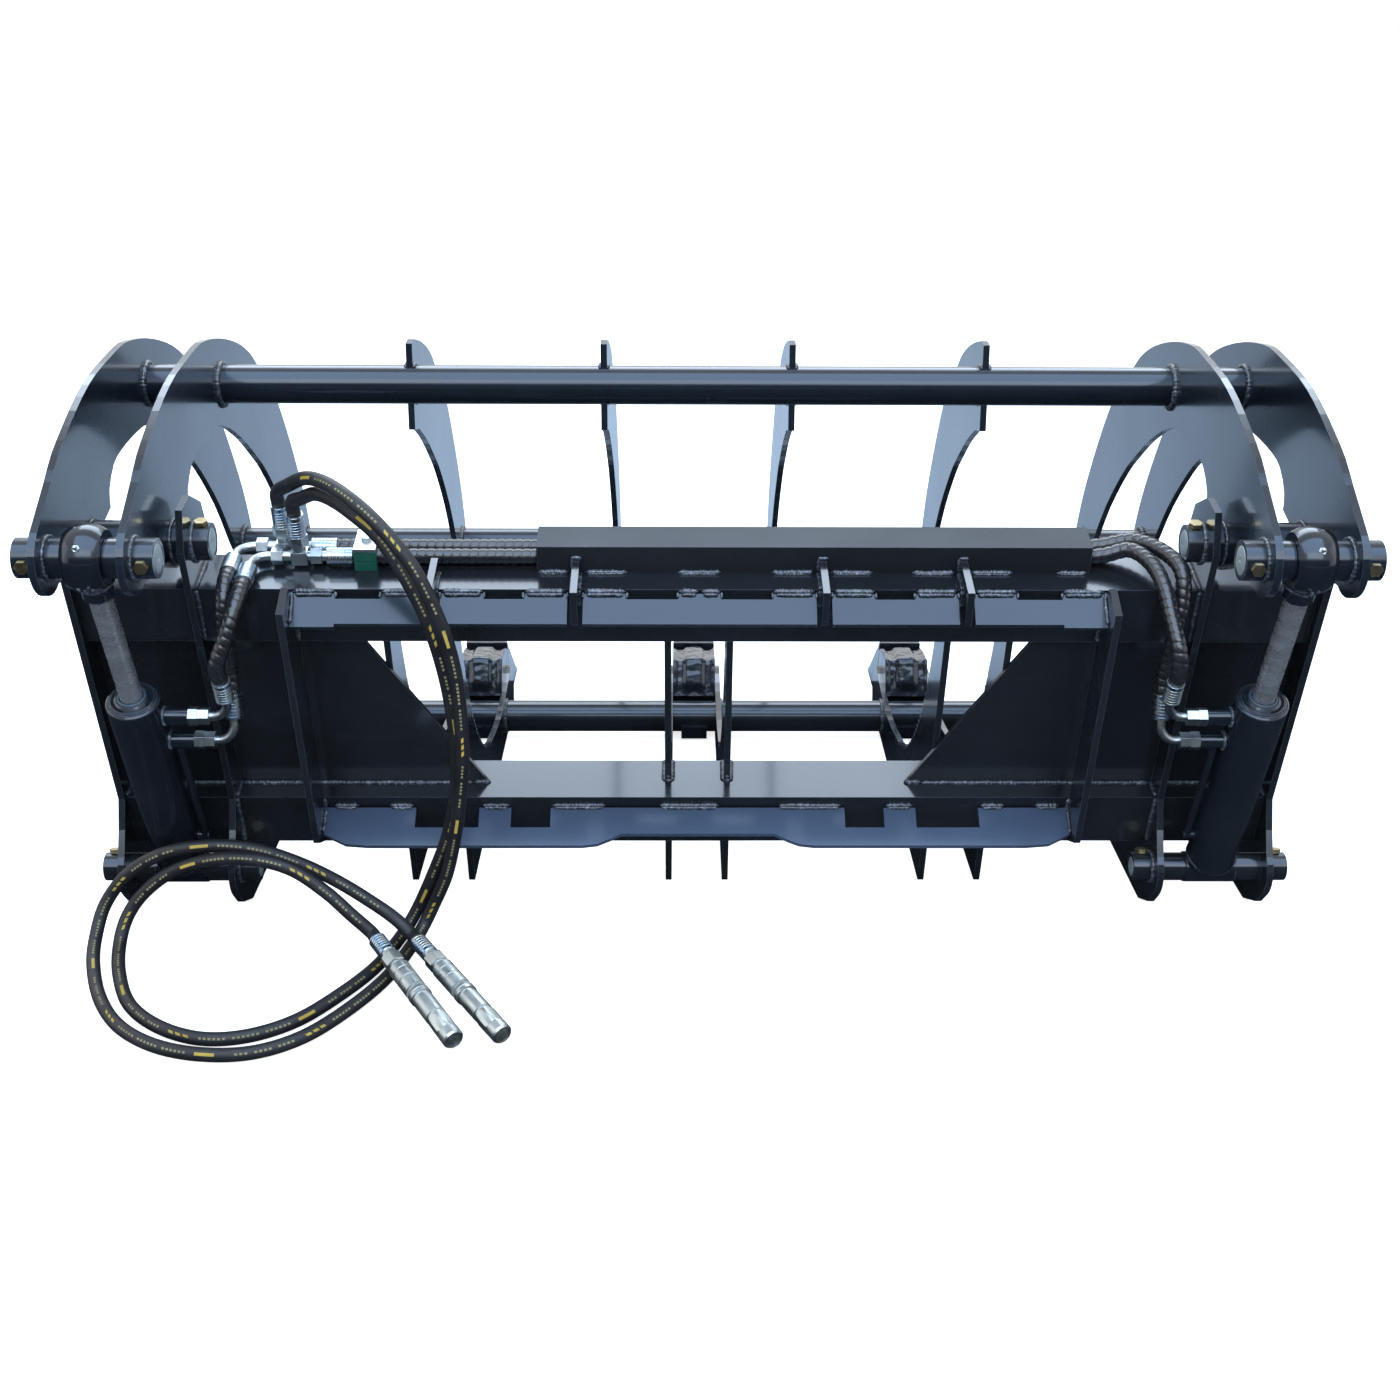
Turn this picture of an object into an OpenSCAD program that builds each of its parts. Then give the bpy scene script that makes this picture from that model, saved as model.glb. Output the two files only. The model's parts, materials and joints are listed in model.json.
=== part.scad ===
// Root rake grapple for a skid steer loader: a welded rake of tine plates on two
// cross beams, one hinged upper jaw, and a hydraulic cylinder in a bay at each side.
// It stands on the flat undersides of its tines, as it rests on the ground.
// The pieces are laid out square to the quick attach plate, and place() leans them back.

/* [Beams and plates] */
// Outside width of the square tube of both cross beams
beam_s = 90; // [80:1:96]
// Wall of the cross beams
beam_wall = 6; // [4:1:10]
// Clear height between the two beams
beam_gap = 295; // [280:1:310]
// Thickness of every tine, arm and side plate
plate_t = 10; // [8:1:12]
// Distance from the end of the attach lips to the middle of a cylinder bay
bay_gap = 226; // [200:1:280]
// Spacing of the two side plates of a bay, middle to middle
side_pitch = 170; // [166:1:190]
// Angle that the quick attach plate leans back at rest
rest_tilt = 14.25; // [12:0.25:16]

/* [Lower tines] */
// Distance from the middle of the rake to the outer tine pairs
pair_x = 414; // [380:1:450]
// Spacing of the two plates of a pair, middle to middle
pair_pitch = 92; // [80:1:104]
// Depth of the plane that the rear edges of the tines lie in
spine_y = 41; // [36:1:46]
// Reach of a lower tine in front of that plane
tine_reach = 735; // [700:1:780]
// Drop of the tine heel below the lower beam
heel_drop = 122; // [116:1:130]
// Depth of the teeth along the inner edge of a tine
serration_h = 7; // [3:1:10]
// Diameter of the cross tube through the tines
cross_tube_d = 60; // [50:1:62]
// Wall of the jaw and cross tubes
tube_wall = 5; // [3:1:8]
// Thickness of the back panels
panel_t = 6; // [4:1:8]

/* [Tips] */
// Length of a tooth in front of its adapter
tooth_l = 142; // [110:1:180]
// Height of a tooth at its rear opening
tooth_h = 72; // [64:1:80]

/* [Quick attach] */
// Half length of the two attach lips
lip_half = 576; // [560:1:580]
// Thickness of the lips
lip_t = 10; // [8:1:12]
// Width of the upper lip down its slope
upper_lip_w = 53; // [44:1:60]
// Width of the lower lip along its slope at the middle
lower_lip_w = 49; // [44:1:56]
// Extra width of the lower lip at its two flanks
lower_lip_extra = 20; // [10:1:26]
// Distance that the end plates stand behind the beams
end_plate_back = 68; // [60:1:76]
// Length of the hose cover
cover_l = 794; // [700:1:840]

/* [Jaw] */
// Spacing of the two arm plates in a bay, middle to middle
arm_pitch = 113; // [108:1:118]
// Height of the jaw pivot above the upper beam
pivot_rise = 53; // [50:1:58]
// Distance of the rod pin behind the jaw pivot
rod_pin_back = 168; // [160:1:176]
// Height of the rod pin above the jaw pivot
rod_pin_up = 79; // [72:1:84]
// Reach of the arms in front of the jaw pivot
arm_reach = 785; // [750:1:820]
// Radius of the plate end around the rod pin
lobe_r = 50; // [46:1:54]
// Radius of the plate around the jaw pivot
hub_plate_r = 38; // [36:1:42]
// Diameter of the two jaw tubes
jaw_tube_d = 60; // [54:1:64]
// Distance from the middle to the two inner jaw tines
inner_tine_x = 146; // [110:1:180]
// Distance from the middle to the two outer jaw tines
outer_tine_x = 446; // [438:1:448]

/* [Pins] */
// Diameter of the jaw pivot and rod pins
pin_d = 40; // [34:1:42]
// Diameter of the cylinder base pins
base_pin_d = 30; // [26:1:32]
// Outside diameter of the bosses on the pivot and rod pins
boss_d = 54; // [52:1:58]
// Outside diameter of the bosses on the base pins
base_boss_d = 44; // [42:1:50]
// Outside diameter of the jaw hub tube
hub_d = 60; // [58:1:66]
// Distance of the base pin behind the beams
base_pin_back = 40; // [38:1:46]
// Distance of the base pin below the underside of the lower beam
base_pin_drop = 18; // [14:1:24]

/* [Cylinders] */
// Outside diameter of the barrel
barrel_d = 76; // [70:1:78]
// Bore of the barrel
barrel_bore = 63.5; // [58:0.5:65]
// Diameter of the chromed rod
rod_d = 32; // [28:1:40]
// Distance from the base pin to the top of the gland
barrel_l = 366; // [360:1:380]
// Diameter of the rod eye
eye_d = 86; // [80:1:90]
// Width of the rod eye
eye_w = 51; // [46:1:56]
// Width of the cross tube at the foot of the barrel
foot_w = 77; // [70:1:84]

/* [Hydraulics] */
// Outside diameter of the hose guard on the short lines
wrap_d = 23; // [20:0.5:24]
// Outside diameter of the two long supply hoses
supply_d = 20; // [18:0.5:21]
// Diameter of the crimped ferrules
ferrule_d = 25; // [23:0.5:27]
// Diameter of the couplers
coupler_d = 32; // [28:1:36]

/* [Hidden] */

// Colours as the object shows them
paint = [0.05, 0.055, 0.07];
steel = [0.62, 0.63, 0.65];
zinc = [0.75, 0.77, 0.78];
gold = [0.66, 0.55, 0.32];
hose_black = [0.09, 0.09, 0.10];
clamp_green = [0.02, 0.28, 0.18];
disc_grey = [0.55, 0.58, 0.60];

// Clearances and overruns
cut = 1;
run_gap = 0.08;
fit_gap = 0.15;
seat_gap = 0.3;
round_fn = 48;
small_fn = 24;

// Heights of the beams
lower_top = beam_s;
upper_bot = beam_s + beam_gap;
upper_top = upper_bot + beam_s;

// Places of the three pins of a bay, as [depth, height]
pivot = [spine_y, upper_top + pivot_rise];
rod_pin = pivot + [-rod_pin_back, rod_pin_up];
base_pin = [-base_pin_back, -base_pin_drop];

// Lateral places
bay_x = lip_half + bay_gap;
arm_in_x = bay_x - arm_pitch / 2;
arm_out_x = bay_x + arm_pitch / 2;
side_in_x = bay_x - side_pitch / 2;
side_out_x = bay_x + side_pitch / 2;
side_in_face = side_in_x - plate_t / 2;
side_out_face = side_out_x - plate_t / 2;

// Ground line under the tines, and the lean of the whole tool
ground_slope = tan(rest_tilt);
function ground_z(y) = -heel_drop - (y - spine_y) * ground_slope;
function leaned(p) = [p[0] * cos(rest_tilt) - p[1] * sin(rest_tilt),
                      p[0] * sin(rest_tilt) + p[1] * cos(rest_tilt)];
floor_lift = -leaned([spine_y, -heel_drop])[1];

// Tooth places in front of the tines
adapter_y = spine_y + tine_reach - 0.03 * tine_reach;
tooth_rear_y = spine_y + tine_reach + 0.02 * tine_reach;
tooth_tip_y = tooth_rear_y + tooth_l;
tooth_tip = [tooth_tip_y, ground_z(tooth_tip_y)];
rear_reach = leaned(rod_pin)[0] - lobe_r;
front_reach = leaned(tooth_tip)[0];
origin_y = -(rear_reach + front_reach) / 2;

// A length scale of one for the small fittings, so that they follow the hose guard
fit_u = ferrule_d / 25;

module place() {
    translate([0, origin_y, floor_lift]) rotate([rest_tilt, 0, 0]) children();
}

module both_sides() {
    children();
    mirror([1, 0, 0]) children();
}

// A sheet in a plane across X: the outline is [depth, height], centred on x
module sheet(x, t) {
    translate([x - t / 2, 0, 0]) rotate([90, 0, 90]) linear_extrude(t) children();
}

// A round bar along X from x0 over length l, at p = [depth, height]
module bar_x(x0, l, d, p, fn = round_fn) {
    translate([x0, p[0], p[1]]) rotate([0, 90, 0]) cylinder(h = l, d = d, $fn = fn);
}

module ring_x(x0, l, d, hole, p, fn = round_fn) {
    difference() {
        bar_x(x0, l, d, p, fn);
        bar_x(x0 - cut, l + 2 * cut, hole, p, fn);
    }
}

// Smooth curve through a list of points, with n steps between neighbours
function blend_point(a, b, c, d, t) =
    0.5 * (2 * b + (c - a) * t + (2 * a - 5 * b + 4 * c - d) * t * t
    + (3 * b - a - 3 * c + d) * t * t * t);
function smooth(p, n) = concat(
    [for (i = [0:len(p) - 2], k = [0:n - 1])
        blend_point(p[max(i - 1, 0)], p[i], p[i + 1], p[min(i + 2, len(p) - 1)], k / n)],
    [p[len(p) - 1]]);
function rest_of(p) = [for (i = [1:len(p) - 1]) p[i]];
function arc(c, r, a0, a1, n) = [for (i = [0:n])
    c + r * [cos(a0 + (a1 - a0) * i / n), sin(a0 + (a1 - a0) * i / n)]];

// Inner edge of a lower tine, as shares of its reach: [depth from the spine plane, height]
tine_start_share = 0.094;
tine_top_z = upper_bot + 0.7202 * beam_s;
tine_shank_shares = [[0.102, 0.8889], [0.113, 0.6667]];
tine_tooth_shares = [[0.133, 0.309], [0.162, 0.218], [0.203, 0.129], [0.260, 0.038],
                     [0.339, -0.052], [0.454, -0.133]];
tine_blade_shares = [[0.454, -0.133], [0.646, -0.215], [0.815, -0.253], [0.944, -0.267],
                     [0.985, -0.297], [1.0, -0.342], [0.985, -0.378]];
serration_steps = 4;
function tine_points(shares) = [for (s = shares) [spine_y + s[0] * tine_reach, s[1] * tine_reach]];
function shank_points(shares) = [for (s = shares) [spine_y + s[0] * tine_reach, s[1] * tine_top_z]];
function unit(v) = v / norm(v);
function serrated(p) = [for (i = [0:len(p) - 2])
    each [p[i], p[i + 1] + serration_h * unit([p[i + 1][1] - p[i][1], p[i][0] - p[i + 1][0]])]];
blade_end_y = spine_y + 0.965 * tine_reach;
function tine_inner_edge() = concat(
    [[spine_y + tine_start_share * tine_reach, tine_top_z]],
    smooth(concat(shank_points(tine_shank_shares), tine_points([tine_tooth_shares[0]])), 3),
    rest_of(serrated(smooth(tine_points(tine_tooth_shares), serration_steps))),
    smooth(tine_points(tine_blade_shares), 3),
    [[blade_end_y, ground_z(blade_end_y)]]);

cross_tube_y = spine_y + 0.781 * tine_reach;
cross_tube = [cross_tube_y, ground_z(cross_tube_y) + 0.7085 * cross_tube_d];

module tine_outline() {
    difference() {
        polygon(concat(
            [[beam_s, tine_top_z]],
            tine_inner_edge(),
            [[spine_y, ground_z(spine_y)], [spine_y, 0], [beam_s, 0], [beam_s, lower_top],
             [spine_y, lower_top], [spine_y, upper_bot], [beam_s, upper_bot]]));
        translate(cross_tube) circle(d = cross_tube_d + 2 * fit_gap, $fn = round_fn);
    }
}

module tine_plate(x) {
    color(paint) place() sheet(x, plate_t) tine_outline();
}

// Side plate outline: rear edge, lug for the base pin and ear for the jaw pivot
lug_r = 1.06 * base_boss_d;
rear_edge_low_y = -0.09 * beam_s;
rear_edge_high_y = -0.21 * beam_s;
ear_r = 1.2 * boss_d;
module side_outline() {
    difference() {
        polygon(concat(
            [[rear_edge_low_y, 1.03 * beam_s], [rear_edge_high_y, pivot[1] + 0.26 * ear_r]],
            [pivot + ear_r * [-0.5, 1.08], pivot + ear_r * [0.17, 1.06],
             pivot + ear_r * [0.88, 0.48], pivot + ear_r * [0.98, -0.12]],
            tine_inner_edge(),
            [[-0.2 * beam_s, ground_z(-0.2 * beam_s)], [-0.72 * beam_s, -0.78 * beam_s]],
            arc(base_pin, lug_r, 210, 120, 6),
            [[-0.4 * beam_s, 0.6 * beam_s]]));
        translate(pivot) circle(d = pin_d + run_gap, $fn = round_fn);
        translate(base_pin) circle(d = base_pin_d + run_gap, $fn = round_fn);
        translate(cross_tube) circle(d = cross_tube_d + 2 * fit_gap, $fn = round_fn);
    }
}
module side_plate_outer() {
    sheet(side_out_x, plate_t) side_outline();
}
module side_plate_inner() {
    sheet(side_in_x, plate_t) difference() {
        side_outline();
        square(beam_s);
        translate([0, upper_bot]) square(beam_s);
    }
}

// Square cross beam between the outer side plates
module beam(z) {
    color(paint) place() difference() {
        translate([-side_out_face, 0, z]) cube([2 * side_out_face, beam_s, beam_s]);
        translate([-side_out_face - cut, beam_wall, z + beam_wall])
            cube([2 * (side_out_face + cut), beam_s - 2 * beam_wall, beam_s - 2 * beam_wall]);
    }
}
module upper_beam() {
    beam(upper_bot);
}
module lower_beam() {
    beam(0);
}

module side_plate_outer_left() {
    color(paint) place() mirror([1, 0, 0]) side_plate_outer();
}
module side_plate_inner_left() {
    color(paint) place() mirror([1, 0, 0]) side_plate_inner();
}
module side_plate_inner_right() {
    color(paint) place() side_plate_inner();
}
module side_plate_outer_right() {
    color(paint) place() side_plate_outer();
}

module tine_plate_1() {
    tine_plate(-pair_x - pair_pitch / 2);
}
module tine_plate_2() {
    tine_plate(-pair_x + pair_pitch / 2);
}
module tine_plate_3() {
    tine_plate(-pair_pitch / 2);
}
module tine_plate_4() {
    tine_plate(pair_pitch / 2);
}
module tine_plate_5() {
    tine_plate(pair_x - pair_pitch / 2);
}
module tine_plate_6() {
    tine_plate(pair_x + pair_pitch / 2);
}

module cross_tube() {
    tube_end = side_out_x + plate_t / 2;
    color(paint) place() ring_x(-tube_end, 2 * tube_end, cross_tube_d,
                                cross_tube_d - 2 * tube_wall, cross_tube);
}

// Weld-on tip adapters between the plates of each pair, with two straps and a nose
pair_inner_w = pair_pitch - plate_t;
adapter_rear_y = spine_y + 0.845 * tine_reach;
adapter_strap_y = spine_y + 0.862 * tine_reach;
adapter_low_y = spine_y + 0.735 * tine_reach;
crease_y = adapter_strap_y + 0.2 * tooth_h;
adapter_lift = 0.06 * tooth_h;
lower_strap_t = 0.40 * tooth_h;
nose_l = 0.42 * tooth_l;
ridge_share = 0.4;
module adapter_outline() {
    back = cross_tube[0] + cross_tube_d / 2 + seat_gap;
    polygon([
        [back + 0.35 * tooth_h, ground_z(back + 0.35 * tooth_h) + adapter_lift],
        [back, ground_z(back) + 1.06 * tooth_h],
        [crease_y, ground_z(crease_y) + 1.92 * tooth_h],
        [adapter_y, ground_z(adapter_y) + 1.83 * tooth_h],
        [tooth_rear_y - seat_gap, ground_z(tooth_rear_y) + 1.66 * tooth_h],
        [tooth_rear_y - seat_gap, ground_z(tooth_rear_y) + adapter_lift]]);
}
module nose_outline(grow) {
    polygon([
        [tooth_rear_y - seat_gap - cut, ground_z(tooth_rear_y) + 0.24 * tooth_h - grow],
        [tooth_rear_y - seat_gap - cut, ground_z(tooth_rear_y) + 0.80 * tooth_h + grow],
        [tooth_rear_y + nose_l + grow, ground_z(tooth_rear_y + nose_l) + 0.42 * tooth_h + grow],
        [tooth_rear_y + nose_l + grow, ground_z(tooth_rear_y + nose_l) + 0.24 * tooth_h - grow]]);
}
module lower_strap_outline() {
    polygon([
        [adapter_low_y, ground_z(adapter_low_y) + adapter_lift],
        [adapter_low_y, ground_z(adapter_low_y) + adapter_lift + lower_strap_t],
        [tooth_rear_y - 0.5 * tooth_h, ground_z(tooth_rear_y - 0.5 * tooth_h) + adapter_lift + lower_strap_t],
        [tooth_rear_y - 0.5 * tooth_h, ground_z(tooth_rear_y - 0.5 * tooth_h) + adapter_lift]]);
}
module tip_adapter(x) {
    difference() {
        union() {
            sheet(x, pair_inner_w - 2 * fit_gap) adapter_outline();
            sheet(x, 0.56 * pair_inner_w) nose_outline(0);
            sheet(x, 0.60 * pair_inner_w) lower_strap_outline();
        }
        bar_x(x - pair_inner_w, 2 * pair_inner_w, cross_tube_d + 2 * seat_gap, cross_tube);
        translate([x, tooth_rear_y + 0.45 * nose_l, ground_z(tooth_rear_y) - tooth_h])
            cylinder(h = 3 * tooth_h, d = 0.16 * tooth_h, $fn = small_fn);
    }
}
module tip_adapters() {
    color(paint) place() for (x = [-pair_x, 0, pair_x]) tip_adapter(x);
}

// Bolt-on teeth: a wedge with a pocket over the adapter nose
module tooth_outline() {
    polygon([
        [tooth_rear_y, ground_z(tooth_rear_y) + 0.03 * tooth_h],
        [tooth_rear_y, ground_z(tooth_rear_y) + 1.86 * tooth_h],
        [tooth_rear_y + 0.3 * tooth_l, ground_z(tooth_rear_y + 0.3 * tooth_l) + 1.36 * tooth_h],
        [tooth_rear_y + 0.8 * tooth_l, ground_z(tooth_rear_y + 0.8 * tooth_l) + 0.40 * tooth_h],
        [tooth_tip[0], tooth_tip[1] + 0.1 * tooth_h],
        tooth_tip]);
}
module tip_tooth(x) {
    difference() {
        sheet(x, pair_inner_w) tooth_outline();
        sheet(x, 0.56 * pair_inner_w + 2 * fit_gap) nose_outline(fit_gap);
        translate([x, tooth_rear_y + 0.45 * nose_l, ground_z(tooth_rear_y) - tooth_h])
            cylinder(h = 3 * tooth_h, d = 0.16 * tooth_h, $fn = small_fn);
    }
}
module tip_teeth() {
    color(paint) place() for (x = [-pair_x, 0, pair_x]) tip_tooth(x);
}
module tooth_pins() {
    pin_y = tooth_rear_y + 0.45 * nose_l;
    color(steel) place() for (x = [-pair_x, 0, pair_x])
        translate([x, pin_y, ground_z(pin_y) + 0.1 * tooth_h])
            cylinder(h = 1.3 * tooth_h, d = 0.16 * tooth_h - fit_gap, $fn = small_fn);
}

// Back panels between the beams, cut away on a slant towards the middle
panel_top_x = 0.63 * bay_x;
panel_low_x = 0.405 * bay_x;
module back_panel() {
    translate([0, spine_y, 0]) rotate([90, 0, 0]) linear_extrude(panel_t)
        polygon([[panel_low_x, lower_top], [side_in_face, lower_top],
                 [side_in_face, upper_bot], [panel_top_x, upper_bot]]);
}
module back_panel_left() {
    color(paint) place() mirror([1, 0, 0]) back_panel();
}
module back_panel_right() {
    color(paint) place() back_panel();
}
module bay_panels() {
    color(paint) place() both_sides()
        translate([side_in_face + plate_t, spine_y - panel_t, lower_top])
            cube([side_pitch - plate_t, panel_t, beam_gap]);
}

// Quick attach: an upper lip with weld tabs, a lower lip with pin slots
gusset_xs = [0.306 * lip_half, 0.656 * lip_half];
gusset_gap = 2.2 * plate_t;
upper_lip_angle = 33;
lower_lip_angle = 23;
lip_tab_l = 0.108 * lip_half;
lip_tab_h = 0.16 * upper_lip_w;
lip_end_extra = 0.09 * upper_lip_w;
module upper_lip_half() {
    root = lip_t * tan(upper_lip_angle);
    tab_y = -root - lip_tab_h;
    segments = [[0, gusset_xs[0] - gusset_gap / 2],
                [gusset_xs[0] + gusset_gap / 2, gusset_xs[1] - gusset_gap / 2],
                [gusset_xs[1] + gusset_gap / 2, lip_half]];
    for (s = segments) {
        translate([s[0], -upper_lip_w]) square([s[1] - s[0], upper_lip_w + tab_y]);
        for (x = [s[0], s[1] - lip_tab_l])
            translate([x, tab_y - cut]) square([x == 0 ? lip_tab_l / 2 : lip_tab_l, lip_tab_h + cut]);
    }
    translate([lip_half - lip_tab_l, -upper_lip_w - lip_end_extra])
        square([lip_tab_l, lip_end_extra + cut]);
}
module upper_lip() {
    color(paint) place() translate([0, 0, upper_top]) rotate([upper_lip_angle, 0, 0])
        translate([0, 0, -lip_t]) linear_extrude(lip_t) {
            upper_lip_half();
            mirror([1, 0]) upper_lip_half();
        }
}

lower_lip_z = 0.82 * beam_s;
slot_shares = [[0.396, 0.106], [0.588, 0.170]];
slot_depth = 0.78 * lower_lip_w;
module lower_lip_half() {
    wide = lower_lip_w + lower_lip_extra;
    root = lip_t * tan(lower_lip_angle);
    difference() {
        polygon([[0, -root], [lip_half, -root], [lip_half, -lower_lip_w], [0.94 * lip_half, -0.96 * wide],
                 [0.88 * lip_half, -wide], [0.31 * lip_half, -wide], [0.27 * lip_half, -0.96 * wide],
                 [0.24 * lip_half, -0.5 * (wide + lower_lip_w)], [0.205 * lip_half, -lower_lip_w],
                 [0, -lower_lip_w]]);
        for (s = slot_shares)
            translate([s[0] * lip_half, -slot_depth]) square([s[1] * lip_half, slot_depth]);
    }
}
module lower_lip() {
    color(paint) place() translate([0, 0, lower_lip_z]) rotate([lower_lip_angle, 0, 0])
        translate([0, 0, -lip_t]) linear_extrude(lip_t) {
            lower_lip_half();
            mirror([1, 0]) lower_lip_half();
        }
}

// End plates beside the lips
module end_plate_outline() {
    polygon([[-end_plate_back, 0.62 * beam_s], [-end_plate_back, upper_top + 0.03 * beam_s],
             [-0.26 * end_plate_back, upper_top + 0.16 * beam_s], [0, upper_top - 0.08 * beam_s],
             [0, 0.1 * beam_s], [-0.5 * end_plate_back, 0.34 * beam_s]]);
}
module end_plates() {
    color(paint) place() both_sides() sheet(lip_half + plate_t / 2 + 3 * seat_gap, plate_t)
        end_plate_outline();
}

// Hose cover: an upside-down angle on the rear top edge of the upper beam
cover_end_x = lip_half - 0.635 * wrap_d;
cover_x0 = cover_end_x - cover_l;
cover_y = 0.49 * beam_s;
cover_h = 1.87 * wrap_d;
cover_w = 2.43 * wrap_d;
cover_t = 0.22 * wrap_d;
module hose_cover() {
    color(paint) place() translate([cover_x0, cover_y, upper_top]) rotate([90, 0, 90])
        linear_extrude(cover_l)
            polygon([[0, 0], [0, cover_h], [cover_w, cover_h], [cover_w, cover_h - cover_t],
                     [cover_t, cover_h - cover_t], [cover_t, 0]]);
}

// Gussets from the hose cover over the beam to the upper lip
gusset_back = 0.5 * beam_s;
gusset_h = 0.27 * beam_s;
module gusset_outline() {
    polygon([[cover_y, upper_top], [cover_y, upper_top + gusset_h],
             [-gusset_back, upper_top + gusset_h], [-gusset_back, upper_top - 0.34 * beam_s],
             [0, upper_top - 0.34 * beam_s], [0, upper_top]]);
}
module lip_gussets() {
    color(paint) place() for (x = gusset_xs) both_sides() sheet(x, plate_t) gusset_outline();
}

// Bosses on the side plates, with cross holes for the pin bolts
pivot_boss_l = 24;
base_boss_l = 30;
bolt_d = 10;
bolt_in = 12;
head_af = 17;
head_h = 6.5;
pivot_bolt_angle = 87;
base_bolt_angle = 62;
rod_bolt_angle = 172;
foot_gap_l = (side_pitch - plate_t - foot_w) / 2 - 4 * seat_gap;

module bolt_axis(x, p, angle) {
    translate([x, p[0], p[1]]) rotate([angle - 90, 0, 0]) children();
}
module bolt_hole(x, p, angle, d) {
    bolt_axis(x, p, angle) cylinder(h = d, d = bolt_d + fit_gap, $fn = small_fn);
}
module pin_bolt(x, p, angle, d, shaft_d) {
    bolt_axis(x, p, angle) {
        translate([0, 0, shaft_d / 2 - bolt_in + fit_gap])
            cylinder(h = (d - shaft_d) / 2 + bolt_in + cut, d = bolt_d, $fn = small_fn);
        translate([0, 0, d / 2 + fit_gap]) cylinder(h = head_h, d = head_af / cos(30), $fn = 6);
    }
}
pivot_boss_xs = [side_in_face - pivot_boss_l, side_out_x + plate_t / 2];
base_boss_xs = [side_in_face - base_boss_l, side_out_x + plate_t / 2];

module frame_bosses_side() {
    for (x = pivot_boss_xs) difference() {
        ring_x(x, pivot_boss_l, boss_d, pin_d + run_gap, pivot);
        bolt_hole(x + pivot_boss_l / 2, pivot, pivot_bolt_angle, boss_d);
    }
    for (x = base_boss_xs) difference() {
        ring_x(x, base_boss_l, base_boss_d, base_pin_d + run_gap, base_pin);
        bolt_hole(x + base_boss_l / 2, base_pin, base_bolt_angle, base_boss_d);
    }
    ring_x(side_in_face + plate_t, foot_gap_l, base_boss_d, base_pin_d + run_gap, base_pin);
    ring_x(side_out_face - foot_gap_l, foot_gap_l, base_boss_d, base_pin_d + run_gap, base_pin);
}
module frame_bosses() {
    color(paint) place() both_sides() frame_bosses_side();
}

module drilled_pin(x0, l, d, p, bolt_xs, angle) {
    difference() {
        bar_x(x0, l, d, p);
        for (x = bolt_xs) bolt_axis(x, p, angle)
            translate([0, 0, d / 2 - bolt_in]) cylinder(h = d, d = bolt_d + fit_gap, $fn = small_fn);
    }
}
module pivot_pins() {
    l = side_pitch + plate_t + 2 * pivot_boss_l;
    color(disc_grey) place() both_sides()
        drilled_pin(pivot_boss_xs[0] + seat_gap, l - 2 * seat_gap, pin_d, pivot,
            [for (x = pivot_boss_xs) x + pivot_boss_l / 2], pivot_bolt_angle);
}
module base_pins() {
    l = side_pitch + plate_t + 2 * base_boss_l;
    color(disc_grey) place() both_sides()
        drilled_pin(base_boss_xs[0] + seat_gap, l - 2 * seat_gap, base_pin_d, base_pin,
            [for (x = base_boss_xs) x + base_boss_l / 2], base_bolt_angle);
}
module frame_pin_bolts() {
    color(gold) place() both_sides() {
        for (x = pivot_boss_xs)
            pin_bolt(x + pivot_boss_l / 2, pivot, pivot_bolt_angle, boss_d, pin_d);
        for (x = base_boss_xs)
            pin_bolt(x + base_boss_l / 2, base_pin, base_bolt_angle, base_boss_d, base_pin_d);
    }
}

// Jaw arms: one outline for the four arms, and its front part for the four tines
arm_back_shares = [[-0.127, 0.195], [-0.069, 0.215], [0.009, 0.228], [0.097, 0.238], [0.183, 0.238],
                   [0.299, 0.223], [0.372, 0.210], [0.437, 0.186], [0.503, 0.157]];
arm_nose_shares = [[0.503, 0.157], [0.569, 0.122], [0.646, 0.074], [0.708, 0.024], [0.746, -0.019],
                   [0.814, -0.092], [0.871, -0.175], [0.917, -0.274], [0.957, -0.382],
                   [0.987, -0.486], [1.000, -0.585], [0.998, -0.673], [0.986, -0.749], [0.960, -0.826]];
arm_tip_shares = [[0.948, -0.762], [0.918, -0.685], [0.884, -0.609], [0.843, -0.535], [0.776, -0.386],
                  [0.685, -0.245], [0.618, -0.167], [0.541, -0.087], [0.462, -0.020]];
arm_arch_shares = [[0.462, -0.020], [0.411, 0.014], [0.378, 0.029], [0.304, 0.046], [0.229, 0.058],
                   [0.176, 0.058], [0.127, 0.033], [0.113, 0.003]];
function arm_points(shares) = [for (s = shares) pivot + s * arm_reach];
waist_shares = [[-0.091, 0.006]];
module arm_outline() {
    polygon(concat(
        smooth(arm_points(arm_back_shares), 2),
        rest_of(smooth(arm_points(arm_nose_shares), 3)),
        smooth(arm_points(arm_tip_shares), 3),
        rest_of(smooth(arm_points(arm_arch_shares), 2)),
        arc(pivot, hub_plate_r, 0, -130, 8),
        arm_points(waist_shares),
        arc(rod_pin, lobe_r, 285, 108, 14)));
}
jaw_top = pivot + [0.459, 0.080] * arm_reach;
jaw_nose = pivot + [0.929, -0.585] * arm_reach;
module arm_plate() {
    difference() {
        arm_outline();
        translate(pivot) circle(d = hub_d + 2 * fit_gap, $fn = round_fn);
        translate(rod_pin) circle(d = pin_d + run_gap, $fn = round_fn);
    }
}
module arm_inner() {
    sheet(arm_in_x, plate_t) difference() {
        arm_plate();
        for (p = [jaw_top, jaw_nose]) translate(p)
            circle(d = jaw_tube_d + 2 * fit_gap, $fn = round_fn);
    }
}
module arm_outer() {
    sheet(arm_out_x, plate_t) arm_plate();
}
module arm_outer_left() {
    color(paint) place() mirror([1, 0, 0]) arm_outer();
}
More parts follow.
